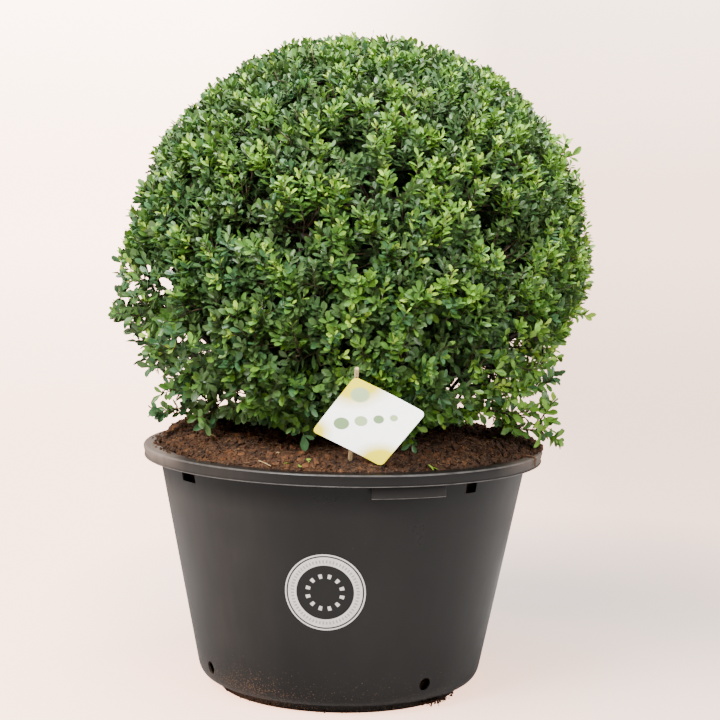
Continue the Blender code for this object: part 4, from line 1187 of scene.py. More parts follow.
class HOLLY_OT_badge(bpy.types.Operator):
    """Lay the round label on the pot's wall"""
    bl_idname = "holly.badge"
    bl_label = "Round label"

    def execute(self, context):
        lean = math.cos(math.atan(wall_slope()))
        vertices = []
        marks = []
        for ring in range(BADGE_RINGS + 1):
            radius = BADGE_RADIUS * ring / BADGE_RINGS
            for step in range(BADGE_ROUNDS):
                angle = 2 * math.pi * step / BADGE_ROUNDS
                height = BADGE_HEIGHT + radius * math.sin(angle) * lean
                wall = wall_radius(height) + BADGE_LIFT
                turn = BADGE_AZIMUTH + math.degrees(radius * math.cos(angle) / wall)
                vertices.append(bearing(turn) * wall + Vector((0, 0, height)))
                marks.append((ring / BADGE_RINGS, step / BADGE_ROUNDS * BADGE_MARKS))
        faces = []
        corners = []
        for ring in range(BADGE_RINGS):
            for step in range(BADGE_ROUNDS):
                after = (step + 1) % BADGE_ROUNDS
                low = ring * BADGE_ROUNDS
                high = low + BADGE_ROUNDS
                end = (step + 1) / BADGE_ROUNDS * BADGE_MARKS
                faces.append([low + step, high + step, high + after, low + after])
                corners += [marks[low + step], marks[high + step], (marks[high][0], end), (marks[low][0], end)]
        item = mesh_piece("pot_badge", vertices, faces, badge_material("badge_print"))
        layer = item.data.uv_layers.new(name="badge")
        for loop, value in zip(layer.data, corners):
            loop.uv = value
        dress(item, "card")
        return {"FINISHED"}


class HOLLY_OT_soil(bpy.types.Operator):
    """Fill the pot with soil, with crumbs, bark chips, fibres and fallen leaves on it"""
    bl_idname = "holly.soil"
    bl_label = "Soil"

    def execute(self, context):
        look = context.scene.holly_pot
        earth = soil_material("potting_soil", look.soil)
        self.body(earth)
        lump = lump_shape()
        self.crumbs(look.crumbs, lump, earth, look.soil)
        self.chips(look.chips, lump, look.soil)
        self.foot_crumbs(lump, earth)
        bpy.data.objects.remove(lump, do_unlink=True)
        self.fibres(look.fibres)
        self.straws()
        self.fallen(context.scene.holly_leaves)
        return {"FINISHED"}

    def body(self, earth):
        """The soil as one closed shape inside the pot, its face rough."""
        turns = [2 * math.pi * step / SOIL_ROUNDS for step in range(SOIL_ROUNDS)]
        rings = [[(0.0, 0.0, FLOOR + GAP)]]
        well = FOOT_RADIUS - WALL - GAP
        recess = WALL + SOIL_RECESS
        side = corner_points(recess, WALL + GAP)
        side += [(wall_radius(0.340) - recess, 0.340), (wall_radius(0.352) - WALL - GAP, 0.352)]
        for radius, height in [(well - SOIL_RECESS, FLOOR + GAP)] + side:
            rings.append([(radius * math.cos(turn), radius * math.sin(turn), height) for turn in turns])
        for radius in np.linspace(SOIL_RINGS[0][0], 0.0, SOIL_CIRCLES):
            ring = []
            for turn in turns if radius > 0 else turns[:1]:
                point = Vector((radius * math.cos(turn), radius * math.sin(turn), 0.0))
                fine = 0.0060 * (0.25 - abs(noise.noise(point * 58))) + 0.0018 * noise.noise(point * 190)
                fine = fine if radius < SOIL_RINGS[0][0] else 0.0
                ring.append((point.x, point.y, soil_height(point.x, point.y) + fine))
            rings.append(ring)
        item = mesh_piece("soil_body", *ring_mesh(rings), earth)
        recalculate(item)
        dress(item, "soil", "soil")

    def spots(self, count, rng, inner=0.0, reach=0.272):
        """Even random places on the soil's face."""
        radius = np.sqrt(rng.uniform(inner ** 2, reach ** 2, count))
        angle = rng.uniform(0, 2 * np.pi, count)
        x = radius * np.cos(angle)
        y = radius * np.sin(angle)
        return np.stack([x, y, [soil_height(a, b) for a, b in zip(x, y)]], axis=1)

    def crumbs(self, count, lump, earth, color):
        """Peat crumbs in three browns, thicker near the rim, some spilled on it and a heap of them at the right."""
        rng = np.random.default_rng(SEED)
        near = count // 3
        spilled = near // 6
        heap = near // 2
        size = 0.0020 + 0.0100 * rng.random(count + spilled + heap) ** 3
        half = spilled // 2
        azimuth = np.radians(np.concatenate([rng.uniform(0, 360, half), rng.normal(-80, 35, spilled - half)]))
        radius = RIM_RADIUS - RIM_WIDTH + np.abs(rng.normal(0, 0.005, spilled))
        rim = around(azimuth, radius, np.full(spilled, POT_HEIGHT))
        share = np.clip(rng.normal(0, 1, heap), -2.2, 2.2)
        azimuth = np.radians(SPILL_AZIMUTH + SPILL_SPREAD * share)
        out = rng.uniform(-0.010, 0.021, heap) * np.exp(-(share / 1.8) ** 2)
        pile = 0.009 * rng.random(heap) * np.exp(-(share / 1.5) ** 2) * np.clip((0.024 - out) / 0.015, 0, 1)
        radius = RIM_RADIUS - RIM_WIDTH + out
        spill = around(azimuth, radius, POT_HEIGHT + pile)
        places = np.concatenate([self.spots(count - near, rng), self.spots(near, rng, 0.235), rim, spill])
        total = len(places)
        size[count:count + spilled] *= 0.55
        sizes = size[:, None] * (0.6 + 0.8 * rng.random((total, 3)))
        places[:, 2] += 0.0008
        turns = unit(rng.normal(size=(total, 4)))
        deal = rng.random(total)
        rust = tuple(part * factor for part, factor in zip(color, (1.65, 1.55, 1.35)))
        dark = tuple(part * 0.45 for part in color)
        kinds = (
            ("crumbs", deal < 0.68, earth), ("rust_crumbs", (deal >= 0.68) & (deal < 0.92), soil_material("rust", rust)),
            ("dark_crumbs", deal >= 0.92, soil_material("peat", dark)),
        )
        for name, chosen, material in kinds:
            item = scattered("soil_" + name, lump, places[chosen], turns[chosen], sizes[chosen], material)
            dress(item, "soil")

    def foot_crumbs(self, lump, earth):
        """Dirt that clings round the pot's foot, most of it at the right."""
        rng = np.random.default_rng(SEED + 6)
        spread = rng.random(FOOT_CRUMBS) < 0.4
        azimuth = np.radians(np.where(spread, rng.uniform(0, 360, FOOT_CRUMBS), rng.normal(49, 5, FOOT_CRUMBS)))
        radius = FOOT_RADIUS + np.abs(rng.normal(0, 1, FOOT_CRUMBS)) * np.where(spread, 0.0016, 0.0070)
        sizes = (0.0016 + 0.0030 * rng.random((FOOT_CRUMBS, 1)) ** 2) * (0.7 + 0.6 * rng.random((FOOT_CRUMBS, 3)))
        level = 0.62 * np.max(sizes, axis=1) + 0.003 * rng.random(FOOT_CRUMBS) * ~spread
        turns = unit(rng.normal(size=(FOOT_CRUMBS, 4)))
        item = scattered("foot_crumbs", lump, around(azimuth, radius, level), turns, sizes, earth)
        dress(item, "soil")

    def chips(self, count, lump, color):
        """Flat bits of bark in two browns, and a few pale ones."""
        rng = np.random.default_rng(SEED + 2)
        bark = tuple(part * factor for part, factor in zip(color, (1.2, 1.0, 0.85)))
        dark = tuple(part * 0.50 for part in color)
        places = self.spots(count, rng)
        tilt = unit(rng.normal(scale=0.35, size=(count, 3)) + np.array([0, 0, 1.0]))
        along = unit(np.cross(tilt, rng.normal(size=(count, 3))))
        turns = quaternions(np.cross(along, tilt), along, tilt)
        sizes = np.stack([rng.uniform(0.003, 0.007, count), rng.uniform(0.006, 0.016, count),
                          rng.uniform(0.0012, 0.0030, count)], axis=1)
        places[:, 2] += 0.0015
        half = count // 2
        for name, part, tint in (("bark_chips", slice(0, half), bark), ("dark_chips", slice(half, count), dark)):
            material = wood_material(name, tint, (1.0, 1.0, 1.0), 0.0008)
            item = scattered("soil_" + name, lump, places[part], turns[part], sizes[part], material)
            dress(item, "soil")
        spots = np.array([(x, y, soil_height(x, y) + 0.002) for x, y in PALE_CHIPS])
        few = len(spots)
        item = scattered("soil_pale_chips", lump, spots, turns[:few], sizes[:few] * 0.9,
                         wood_material("pale_chips", (0.42, 0.28, 0.13), (1.0, 1.0, 1.0), 0.0005))
        dress(item, "soil")

    def fibre(self, start, turn, length, thick, rng, lift):
        """A fine curved fibre that follows the soil's face."""
        path = []
        for step in range(5):
            spot = start + Vector((math.cos(turn), math.sin(turn), 0)) * (length * step / 4)
            turn += rng.uniform(-0.4, 0.4)
            if math.hypot(spot.x, spot.y) > 0.272:
                break
            spot.z = soil_height(spot.x, spot.y) + lift + rng.uniform(0, 0.0022)
            path.append(spot)
        return tube(path, [thick] * len(path), 3) if len(path) > 2 else None

    def fibres(self, count):
        """Short rust-brown peat fibres, and fewer pale ones."""
        rng = random.Random(SEED + 1)
        kinds = (
            ("rust_fibres", count * 3 // 5, (0.170, 0.078, 0.032), (0.005, 0.016), (0.0003, 0.0006)),
            ("pale_fibres", count * 2 // 5, (0.270, 0.150, 0.068), (0.005, 0.020), (0.0002, 0.00045)),
        )
        for name, number, color, lengths, widths in kinds:
            shapes = []
            for _ in range(number):
                radius = 0.268 * math.sqrt(rng.random())
                angle = rng.uniform(0, 2 * math.pi)
                start = Vector((radius * math.cos(angle), radius * math.sin(angle), 0))
                shape = self.fibre(start, rng.uniform(0, 2 * math.pi), rng.uniform(*lengths),
                                   rng.uniform(*widths), rng, 0.0016)
                if shape:
                    shapes.append(shape)
            dress(mesh_piece("soil_" + name, *joined(shapes), straw_material(name, color)), "soil")

    def straws(self):
        """A few loose straws, and two root strands that hang over the rim."""
        shapes = []
        for start, end in STRAWS:
            ends = [Vector((x, y, soil_height(x, y) + 0.0035)) for x, y in (start, end)]
            middle = ends[0].lerp(ends[1], 0.5) + Vector((0, 0, 0.0012))
            shapes.append(tube(curve_points(ends[0], middle, ends[1], 6), [0.0007] * 7, 5))
        dress(mesh_piece("soil_straws", *joined(shapes), straw_material("straw", (0.62, 0.46, 0.24))), "soil")
        shapes = []
        for azimuth in STRAND_AZIMUTHS:
            section = ((0.268, 0.372), (0.277, 0.3705), (0.285, 0.3688), (0.2925, 0.3682), (0.2985, 0.3672))
            section += ((0.3015, 0.3640), (0.3018, 0.3600), (0.3014, 0.3560), (0.3010, 0.3520))
            path = []
            for step, (radius, height) in enumerate(section):
                out = bearing(azimuth + 0.4 * math.sin(step * 1.7))
                path.append(out * radius + Vector((0, 0, height)))
            shapes.append(tube(path, [0.0016, 0.0018, 0.0015, 0.0017, 0.0015, 0.0016, 0.0014, 0.0015, 0.0009], 6))
        dress(mesh_piece("soil_strands", *joined(shapes), wood_material("root_strand", (0.13, 0.062, 0.032))), "soil")

    def fallen(self, look):
        """Leaves that have fallen on the soil."""
        rng = np.random.default_rng(SEED + 3)
        count = len(FALLEN_LEAVES)
        places = np.array([(x, y, soil_height(x, y) + 0.0045) for x, y in FALLEN_LEAVES])
        tilt = unit(rng.normal(scale=0.32, size=(count, 3)) + np.array([0, -0.25, 1.0]))
        along = unit(np.cross(tilt, rng.normal(size=(count, 3))))
        turns = quaternions(np.cross(along, tilt), along, tilt)
        sizes = rng.uniform(0.75, 1.05, count)[:, None] * np.array([1.0, 1.0, 1.6])
        green = leaf_material("fallen_leaf", look.young, 0.42)
        shape = mesh_piece("fallen_shape", *leaf_shape(look.length, look.width), green)
        item = scattered("fallen_leaves", shape, places, turns, sizes, green)
        bpy.data.objects.remove(shape, do_unlink=True)
        dress(item, "foliage")


class HOLLY_OT_limbs(bpy.types.Operator):
    """Grow the trunk, the leader and the boughs, with bark"""
    bl_idname = "holly.limbs"
    bl_label = "Trunk and boughs"

    def execute(self, context):
        bark = wood_material("holly_bark", context.scene.holly_wood.bark)
        path, values, boughs, _ = limb_layout()
        points, numbers = finer(path, values, 9)
        radii = [number[0] for number in numbers]
        lobes = [number[1] for number in numbers]
        trunk = mesh_piece("trunk_bark", *tube(points, radii, LIMB_ROUNDS, lobes, 0.16), bark)
        dress(trunk, "bark", "trunk")
        for name, bough in boughs.items():
            taper = list(np.linspace(BOUGH_FOOT_RADIUS, BOUGH_TIP_RADIUS, len(bough)))
            item = mesh_piece(name + "_bark", *tube(bough, taper, BOUGH_ROUNDS, None, 0.18), bark)
            dress(item, "bark", name)
        return {"FINISHED"}


def even_headings(count, rng, jitter):
    """Even unit vectors over the ball, shaken a little."""
    index = np.arange(count)
    z = 1 - (2 * index + 1) / count
    radius = np.sqrt(1 - z * z)
    angle = np.pi * (3 - np.sqrt(5)) * index
    rows = np.stack([radius * np.cos(angle), radius * np.sin(angle), z], axis=1)
    return unit(rows + rng.normal(scale=jitter, size=rows.shape))


def pocket_places(rng):
    """Middles and sizes of the hollows between the sprays: the placed ones, and more away from the front."""
    places = [crown_point(toward(azimuth, elevation), 1.0) for azimuth, elevation, _ in POCKETS]
    sizes = [size for _, _, size in POCKETS]
    for heading in even_headings(POCKET_COUNT, rng, 0.20):
        if heading[1] > -0.30 and heading[2] > -0.5:
            places.append(crown_point(Vector(heading), 1.0))
            sizes.append(rng.uniform(0.020, 0.038))
    return list(zip(np.array(places), sizes))


def pocket_depths(points, pockets):
    """How deep the hollows pull each point of the face in, from nought to one."""
    depth = np.zeros(len(points))
    for place, size in pockets:
        away = np.linalg.norm(points - place, axis=1) / size
        depth = np.maximum(depth, np.clip(1.35 - away, 0, 1))
    return depth


def toward(azimuth, elevation):
    """Unit vector at an azimuth and an elevation."""
    rise = math.radians(elevation)
    return bearing(azimuth) * math.cos(rise) + Vector((0, 0, math.sin(rise)))


def thinned(headings):
    """The share of shoots kept at each heading and how far it is pulled in, by the ball's thin places."""
    keep = np.ones(len(headings))
    pull = np.zeros(len(headings))
    for azimuth, elevation, spread, share, inward in THIN_PLACES:
        cosine = np.clip(headings @ np.array(toward(azimuth, elevation)), -1, 1)
        near = np.exp(-(np.degrees(np.arccos(cosine)) / spread) ** 4)
        keep *= 1 - (1 - share) * near
        pull += inward * near
    return keep, pull


def camera_back():
    """Unit vector from the camera's aim back to the camera."""
    rise = math.radians(CAMERA_ELEVATION)
    return Vector((0, -math.cos(rise), math.sin(rise)))


def shown(points):
    """Where points show, as the camera sees them, on the upright plane through the plant's middle."""
    eye = np.array(CAMERA_AIM + camera_back() * CAMERA_DISTANCE)
    flat = eye + (points - eye) * (-eye[1] / (points[:, 1:2] - eye[1]))
    return flat[:, ::2]


def in_openings(feet, ends):
    """Whether the lines from feet to ends cross an opening, as the camera sees them."""
    rng = np.random.default_rng(SEED + 9)
    crossed = np.zeros(len(feet), dtype=bool)
    for x, z, wide, high, count, radius, stretch in OPENINGS:
        squeeze = np.array([1 / stretch, 1.0])
        start = shown(feet) * squeeze
        line = shown(ends) * squeeze - start
        even = (0.5 + np.arange(count)[:, None] * OPENING_STEPS) % 1 * 2 - 1
        spots = np.array([x, z]) + even * np.array([wide, high]) + rng.normal(scale=0.003, size=(count, 2))
        for spot in spots * squeeze:
            share = np.clip(np.sum((spot - start) * line, axis=1) / np.sum(line * line, axis=1), 0, 1)
            away = np.linalg.norm(start + share[:, None] * line - spot, axis=1)
            crossed |= away < radius * rng.uniform(0.85, 1.12)
    return crossed


def tufts(points, rng):
    """For each point, the way out of its tuft's middle, how near the tuft's edge it is, and the tuft's own tone."""
    centres = np.array([crown_point(Vector(row), 1.0) for row in even_headings(TUFT_COUNT, rng, 0.035)])
    tones = rng.random(TUFT_COUNT)
    away = np.linalg.norm(points[:, None, :] - centres[None, :, :], axis=2)
    nearest = np.argmin(away, axis=1)
    rows = np.arange(len(points))
    splay = (points - centres[nearest]) / TUFT_REACH
    edge = np.clip(away[rows, nearest] / TUFT_REACH - 0.45, 0, 1)
    return splay, edge, tones[nearest]


class HOLLY_OT_foliage(bpy.types.Operator):
    """Grow stems, arms, twigs and leafy shoots on from the boughs, and set the leaves on them"""
    bl_idname = "holly.foliage"
    bl_label = "Twigs and leaves"

    def execute(self, context):
        look = context.scene.holly_leaves
        rng = np.random.default_rng(SEED)
        colors = context.scene.holly_wood
        wood = wood_material("twig_bark", colors.twig, (1.0, 1.0, 0.5), 0.0005)
        starts, ends, shapes = self.branches()
        # Painted shade: stems and inner twigs take the bark at 0.16 of its colour, as dark as the shade inside the
        # crown.
        stem = wood_material("stem_bark_painted_shade", tuple(part * 0.16 for part in colors.bark), (1.0, 1.0, 0.4), 0.0008)
        dress(mesh_piece("foliage_stems", *joined(shapes), stem), "bark", *masses())
        pockets = pocket_places(rng)
        face = self.face_shoots(look, rng, pockets)
        inner = self.inner_shoots(look, rng, 0.80, 0.92, look.inner, 1.15, pockets)
        deep = self.inner_shoots(look, rng, 0.58, 0.76, look.inner // 3, 2.0, [])
        self.twigs("face_twigs", face, starts, ends, wood, (0.0010, 0.0008, 0.0004))
        # The inner twigs take the dark stem bark, painted shade.
        self.twigs("inner_twigs", inner, starts, ends, stem, (0.0013, 0.0010, 0.0006))
        self.twigs("bare_twigs", self.bare_twigs(rng), starts, ends, wood, (0.0007, 0.0007, 0.0005))
        open_shoots = self.sprays(rng, starts, ends, wood)
        self.face_leaves(look, self.leaf_rows(look, rng, face, look.per_shoot),
                         self.leaf_rows(look, rng, open_shoots, 5, (0, -1.1, 0.5)))
        self.inner_leaves("inner", look, rng, inner, look.per_inner, look.shaded)
        # The deep leaves take the shaded colour at half strength, painted shade for the crown's depth.
        self.inner_leaves("deep", look, rng, deep, look.per_inner - 2, tuple(part * 0.50 for part in look.shaded))
        return {"FINISHED"}

    def branches(self):
        """Stems from the boughs to the hubs, the arms that fork there, and the spray twigs from the arms."""
        _, _, _, feet = limb_layout()
        shapes = []
        starts = []
        ends = []
        headings = masses()
        golden = math.pi * (3 - math.sqrt(5))
        sprays = {name: [] for name in headings}
        for index in range(SPRAY_COUNT):
            z = 1 - (2 * index + 1) / SPRAY_COUNT
            radius = math.sqrt(1 - z * z)
            outward = Vector((radius * math.cos(golden * index), radius * math.sin(golden * index), z))
            sprays[max(headings, key=lambda name: headings[name].dot(outward))].append(outward)
        for name, heading in headings.items():
            start, direction = feet[name]
            hub = crown_point(heading, HUB_SHARE)
            near = start + direction * GAP
            bend = near + direction * ((hub - near).length / 2)
            stem = curve_points(near, bend, hub, 8)
            shapes.append(tube(stem, list(np.linspace(STEM_RADIUS, ARM_RADIUS, len(stem))), 8, None, 0.15))
            tips = self.arm_tips(heading)
            for tip in tips:
                middle = hub.lerp(tip, 0.5) + Vector((0, 0, 0.012))
                arm = curve_points(hub, middle, tip, 4)
                shapes.append(tube(arm, list(np.linspace(ARM_RADIUS, TWIG_RADIUS, len(arm))), 6))
            for outward in sprays[name]:
                end = crown_point(outward, SPRAY_SHARE)
                if end.z < soil_height(end.x, end.y) + 0.012:
                    continue
                arm = min(tips, key=lambda point: (point - end).length)
                middle = arm.lerp(end, 0.5) + (end - CROWN_MIDDLE).normalized() * 0.012
                spray = curve_points(arm, middle, end, 3)
                shapes.append(tube(spray, list(np.linspace(TWIG_RADIUS, SPRAY_TIP_RADIUS, len(spray))), 5))
                starts.append(arm)
                ends.append(end)
        return np.array(starts), np.array(ends), shapes

    def arm_tips(self, heading):
        """Tips of the arms: one ahead, and one towards each corner of the mass's space."""
        first, second = tangents(heading)
        lean = math.radians(ARM_LEAN)
        tips = [crown_point(heading, ARM_SHARE)]
        for index in range(TIER_COUNT):
            angle = 2 * math.pi * (index + 0.5) / TIER_COUNT
            side = first * math.cos(angle) + second * math.sin(angle)
            tips.append(crown_point(heading * math.cos(lean) + side * math.sin(lean), ARM_SHARE))
        return tips

    def face_shoots(self, look, rng, pockets):
        """Shoots of the clipped face: tufts of them point out and upwards, closer and smaller towards the top."""
        headings = even_headings(look.shoots, rng, 0.022)
        keep = np.interp(headings[:, 2], (-0.6, -0.15, 0.1, 0.75), (0.52, 0.74, 0.90, 1.0))
        middle = np.array(CROWN_MIDDLE)
        surface = middle + headings * crown_reaches(headings)[:, None]
        keep *= thinned(headings)[0] * (1 - 0.75 * pocket_depths(surface, pockets))
        chosen = rng.random(len(headings)) < keep
        headings = headings[chosen]
        surface = surface[chosen]
        count = len(headings)
        reach = crown_reaches(headings)
        middle = middle + np.interp(surface[:, 2:], (0.55, 0.75), (-0.003, 0.009)) * np.array([1.0, 0, 0])
        pocket = pocket_depths(surface, pockets)
        splay, edge, tuft = tufts(surface, rng)
        depth = edge * np.interp(headings[:, 2], (0.2, 0.8), (1.0, 0.55))
        share = rng.uniform(0.978, 1.0, count) - TUFT_DEPTH * depth - POCKET_DEPTH * pocket
        share += 0.014 * (tuft - 0.5) + 0.012 * (rng.random(count) < 0.04) - thinned(headings)[1]
        upward = np.interp(headings[:, 2], (-0.6, -0.25, 0.1), (0.10, 0.35, 0.75))
        along = headings * 0.72 + splay * 0.55 + rng.normal(scale=0.26, size=(count, 3))
        along = unit(along + upward[:, None] * np.array([0, 0, 1.0]))
        inwards = np.sum(along * headings, axis=1) < 0.2
        along[inwards] = unit(along[inwards] + headings[inwards] * 0.8)
        shoots = {
            "tips": middle + headings * (reach * share)[:, None],
            "along": along,
            "length": look.shoot_length * rng.uniform(0.75, 1.25, count),
            "size": np.interp(headings[:, 2], (-0.6, -0.1, 0.35, 0.8), (1.30, 1.12, 0.96, 0.90)),
            "shade": np.maximum(pocket, edge * 0.8),
            "tuft": tuft,
        }
        shoots["size"] *= 1 - 0.10 * headings[:, 0]
        shoots["length"] *= np.where(headings[:, 2] > 0.35, 0.85, 1.0)
        return self.kept(shoots)

    def inner_shoots(self, look, rng, low, high, count, size, pockets):
        """Shaded shoots behind the face and its pockets, which keep the ball from being seen through."""
        headings = even_headings(count, rng, 0.035)
        surface = np.array(CROWN_MIDDLE) + headings * crown_reaches(headings)[:, None]
        keep = np.where(headings[:, 2] < -0.25, 0.70, 1.0) * thinned(headings)[0] ** 1.8
        keep *= pocket_depths(surface, pockets) < 0.40
        headings = headings[rng.random(len(headings)) < keep]
        count = len(headings)
        share = rng.uniform(low, high, count) - thinned(headings)[1]
        shoots = {
            "tips": np.array(CROWN_MIDDLE) + headings * (crown_reaches(headings) * share)[:, None],
            "along": unit(headings * 0.5 + unit(np.cross(headings, rng.normal(size=(count, 3))))),
            "length": look.shoot_length * 0.75 * size * rng.uniform(0.9, 1.4, count),
            "size": np.full(count, size),
            "shade": np.ones(count),
            "tuft": np.zeros(count),
        }
        return self.kept(shoots)

    def bare_twigs(self, rng):
        """Clipped twig ends that stand a little proud of the leaves."""
        headings = unit(rng.normal(size=(BARE_TWIGS, 3)) + np.array([0, 0, 0.35]))
        share = rng.uniform(0.995, 1.022, BARE_TWIGS)
        shoots = {
            "tips": np.array(CROWN_MIDDLE) + headings * (crown_reaches(headings) * share)[:, None],
            "along": unit(headings + rng.normal(scale=0.35, size=(BARE_TWIGS, 3)) + np.array([0, 0, 0.4])),
            "length": rng.uniform(0.012, 0.024, BARE_TWIGS),
        }
        return self.kept(shoots)

    def open_places(self, rng):
        """Foot and tip of each spray that stands out, its leaves' size, and whether it grows from a branch."""
        found = [(Vector(foot), Vector(tip), 1.35, False) for foot, tip in FORKS]
        for foot, tip in SPRIGS:
            for copy in range(SPRIG_COPIES):
                aside = -math.copysign(0.012, tip[0]) * rng.random()
                shift = Vector((aside, rng.uniform(-0.03, 0.09), rng.normal(0, 0.008))) * min(copy, 1)
                shift.y = min(shift.y, max(0.0, 0.25 - tip[1]))
                found.append((Vector(foot) + shift, Vector(tip) + shift, 1.28, True))
        for azimuth, elevation, spread, _, _ in THIN_PLACES:
            for _ in range(OPEN_SPRAYS):
                turn, rise = rng.normal(scale=spread * 0.6, size=2)
                heading = toward(azimuth + turn, elevation + 0.7 * rise)
                ahead = (heading + Vector(rng.normal(scale=0.10, size=3))).normalized()
                inward = float(thinned(np.array([ahead]))[1][0])
                tip = crown_point(ahead, rng.uniform(0.91, 0.98) - inward)
                foot = crown_point(heading, 0.78 - inward)
                tip.z = max(tip.z, SPRAY_FLOOR + rng.uniform(0, 0.02))
                foot.z = max(foot.z, SPRAY_FLOOR + 0.012)
                found.append((foot, tip, rng.uniform(1.0, 1.2), True))
        return found

    def sprays(self, rng, starts, ends, wood):
        """Thin curved sprays with short leafy shoots to either side, open enough to see between."""
        shapes = []
        rows = []
        roots = {"feet": [], "tips": []}
        for foot, tip, size, rooted in self.open_places(rng):
            reach = (tip - foot).length
            side = (tip - foot).cross(Vector((0, 0, 1))).normalized()
            sway = Vector(rng.normal(scale=0.10 * reach, size=3)) - Vector((0, 0, 0.12 * reach))
            steps = max(2, round(reach / 0.013))
            path = curve_points(foot, foot.lerp(tip, 0.55) + sway, tip, steps)
            shapes.append(tube(path, list(np.linspace(0.0012, 0.0007, steps + 1)), 5))
            if rooted:
                roots["feet"].append(path[0])
                roots["tips"].append(path[1])
            for step in range(1, steps + 1):
                along = (path[step] - path[step - 1]).normalized() + Vector(rng.normal(scale=0.3, size=3))
                along += side * ((-1) ** step * rng.uniform(0.2, 1.1) * (step < steps)) + Vector((0, 0, 0.25))
                along.normalize()
                length = rng.uniform(0.012, 0.020)
                end = path[step] + along * length
                shapes.append(tube([path[step], path[step].lerp(end, 0.5), end], [0.0007, 0.0006, 0.0004], 4))
                leafy = size * rng.uniform(0.9, 1.1)
                rows.append((end, along, length, leafy, rng.uniform(-0.2, 0.1), rng.uniform(0.2, 1.0)))
        dress(mesh_piece("open_sprays", *joined(shapes), wood), "bark", *masses())
        self.twigs("spray_roots", {name: np.array(spots) for name, spots in roots.items()}, starts, ends, wood,
                   (0.0016, 0.0013, 0.0011))
        columns = [np.array(column) for column in zip(*rows)]
        return dict(zip(("tips", "along", "length", "size", "shade", "tuft"), columns))

    def kept(self, shoots):
        """Shoots that stay clear of the soil, the trunk's foot and the label."""
        tips = shoots["tips"]
        feet = tips - shoots["along"] * shoots["length"][:, None]
        low = np.maximum(crown_base(tips), ground_under(tips) + 0.006)
        good = (tips[:, 2] > low) & (feet[:, 2] > ground_under(feet) + 0.004)
        good &= (np.hypot(tips[:, 0] - CROWN_MIDDLE[0], tips[:, 1]) > 0.05) | (tips[:, 2] > 0.47)
        good &= ~self.by_label(tips)
        found = {name: rows[good] for name, rows in shoots.items()}
        found["feet"] = feet[good]
        return found

    def by_label(self, points):
        """Whether points lie in front of the label's card or in it."""
        inverse = np.array(label_matrix().inverted())
        local = points @ inverse[:3, :3].T + inverse[:3, 3]
        off = np.hypot(local[:, 0] - CARD_MIDDLE[0], local[:, 2] - CARD_MIDDLE[1])
        return (off < math.hypot(*CARD_SIZE) / 2) & (local[:, 1] < 0.003)

    def twigs(self, name, shoots, starts, ends, wood, radii):
        """Thin twigs from the nearest spray to the foot of each shoot and on to its tip, from arrays."""
        tips, feet = shoots["tips"], shoots["feet"]
        best = np.full(len(feet), np.inf)
        roots = np.zeros_like(feet)
        for start, end in zip(starts, ends):
            line = end - start
            share = np.clip((feet - start) @ line / (line @ line), 0, 1)
            spot = start + share[:, None] * line
            away = np.linalg.norm(feet - spot, axis=1)
            share = np.clip(share - 0.7 * away / np.linalg.norm(line), 0, 1)
            spot = start + share[:, None] * line
            nearer = away < best
            best = np.where(nearer, away, best)
            roots[nearer] = spot[nearer]
        stations = np.stack([roots, feet, tips], axis=1)[~(in_openings(roots, feet) | in_openings(feet, tips))]
        sides = 3
        count, length = stations.shape[:2]
        tangent = np.gradient(stations, axis=1)
        tangent /= np.maximum(1e-9, np.linalg.norm(tangent, axis=2, keepdims=True))
        guide = np.where(np.abs(tangent[:, :, 2:]) < 0.9, np.array([0, 0, 1.0]), np.array([1.0, 0, 0]))
        first = np.cross(tangent, guide)
        first /= np.linalg.norm(first, axis=2, keepdims=True)
        second = np.cross(tangent, first)
        angles = 2 * np.pi * np.arange(sides) / sides
        ring = first[:, :, None, :] * np.cos(angles)[:, None] + second[:, :, None, :] * np.sin(angles)[:, None]
        points = stations[:, :, None, :] + ring * np.array(radii)[None, :, None, None]
        faces = []
        for index in range(count):
            base = index * length * sides
            for station in range(length - 1):
                low = base + station * sides
                for side in range(sides):
                    after = (side + 1) % sides
                    faces.append((low + side, low + after, low + sides + after, low + sides + side))
            faces.append(tuple(base + (length - 1) * sides + side for side in range(sides)))
        dress(mesh_piece(name, points.reshape(-1, 3), faces, wood), "bark", *masses())

    def leaf_rows(self, look, rng, shoots, per, light=(0, 0, 0.35)):
        """Leaves in a spiral up each shoot, their faces to the light: place, turn, size, kind and end."""
        tips, along, length = shoots["tips"], shoots["along"], shoots["length"]
        count = len(tips)
        first = unit(np.cross(along, rng.normal(size=(count, 3))))
        second = np.cross(along, first)
        outward = unit(tips - np.array(CROWN_MIDDLE))
        phase = rng.uniform(0, 2 * np.pi, count)
        tone = 0.55 * shoots["tuft"] + 0.45 * rng.random(count)
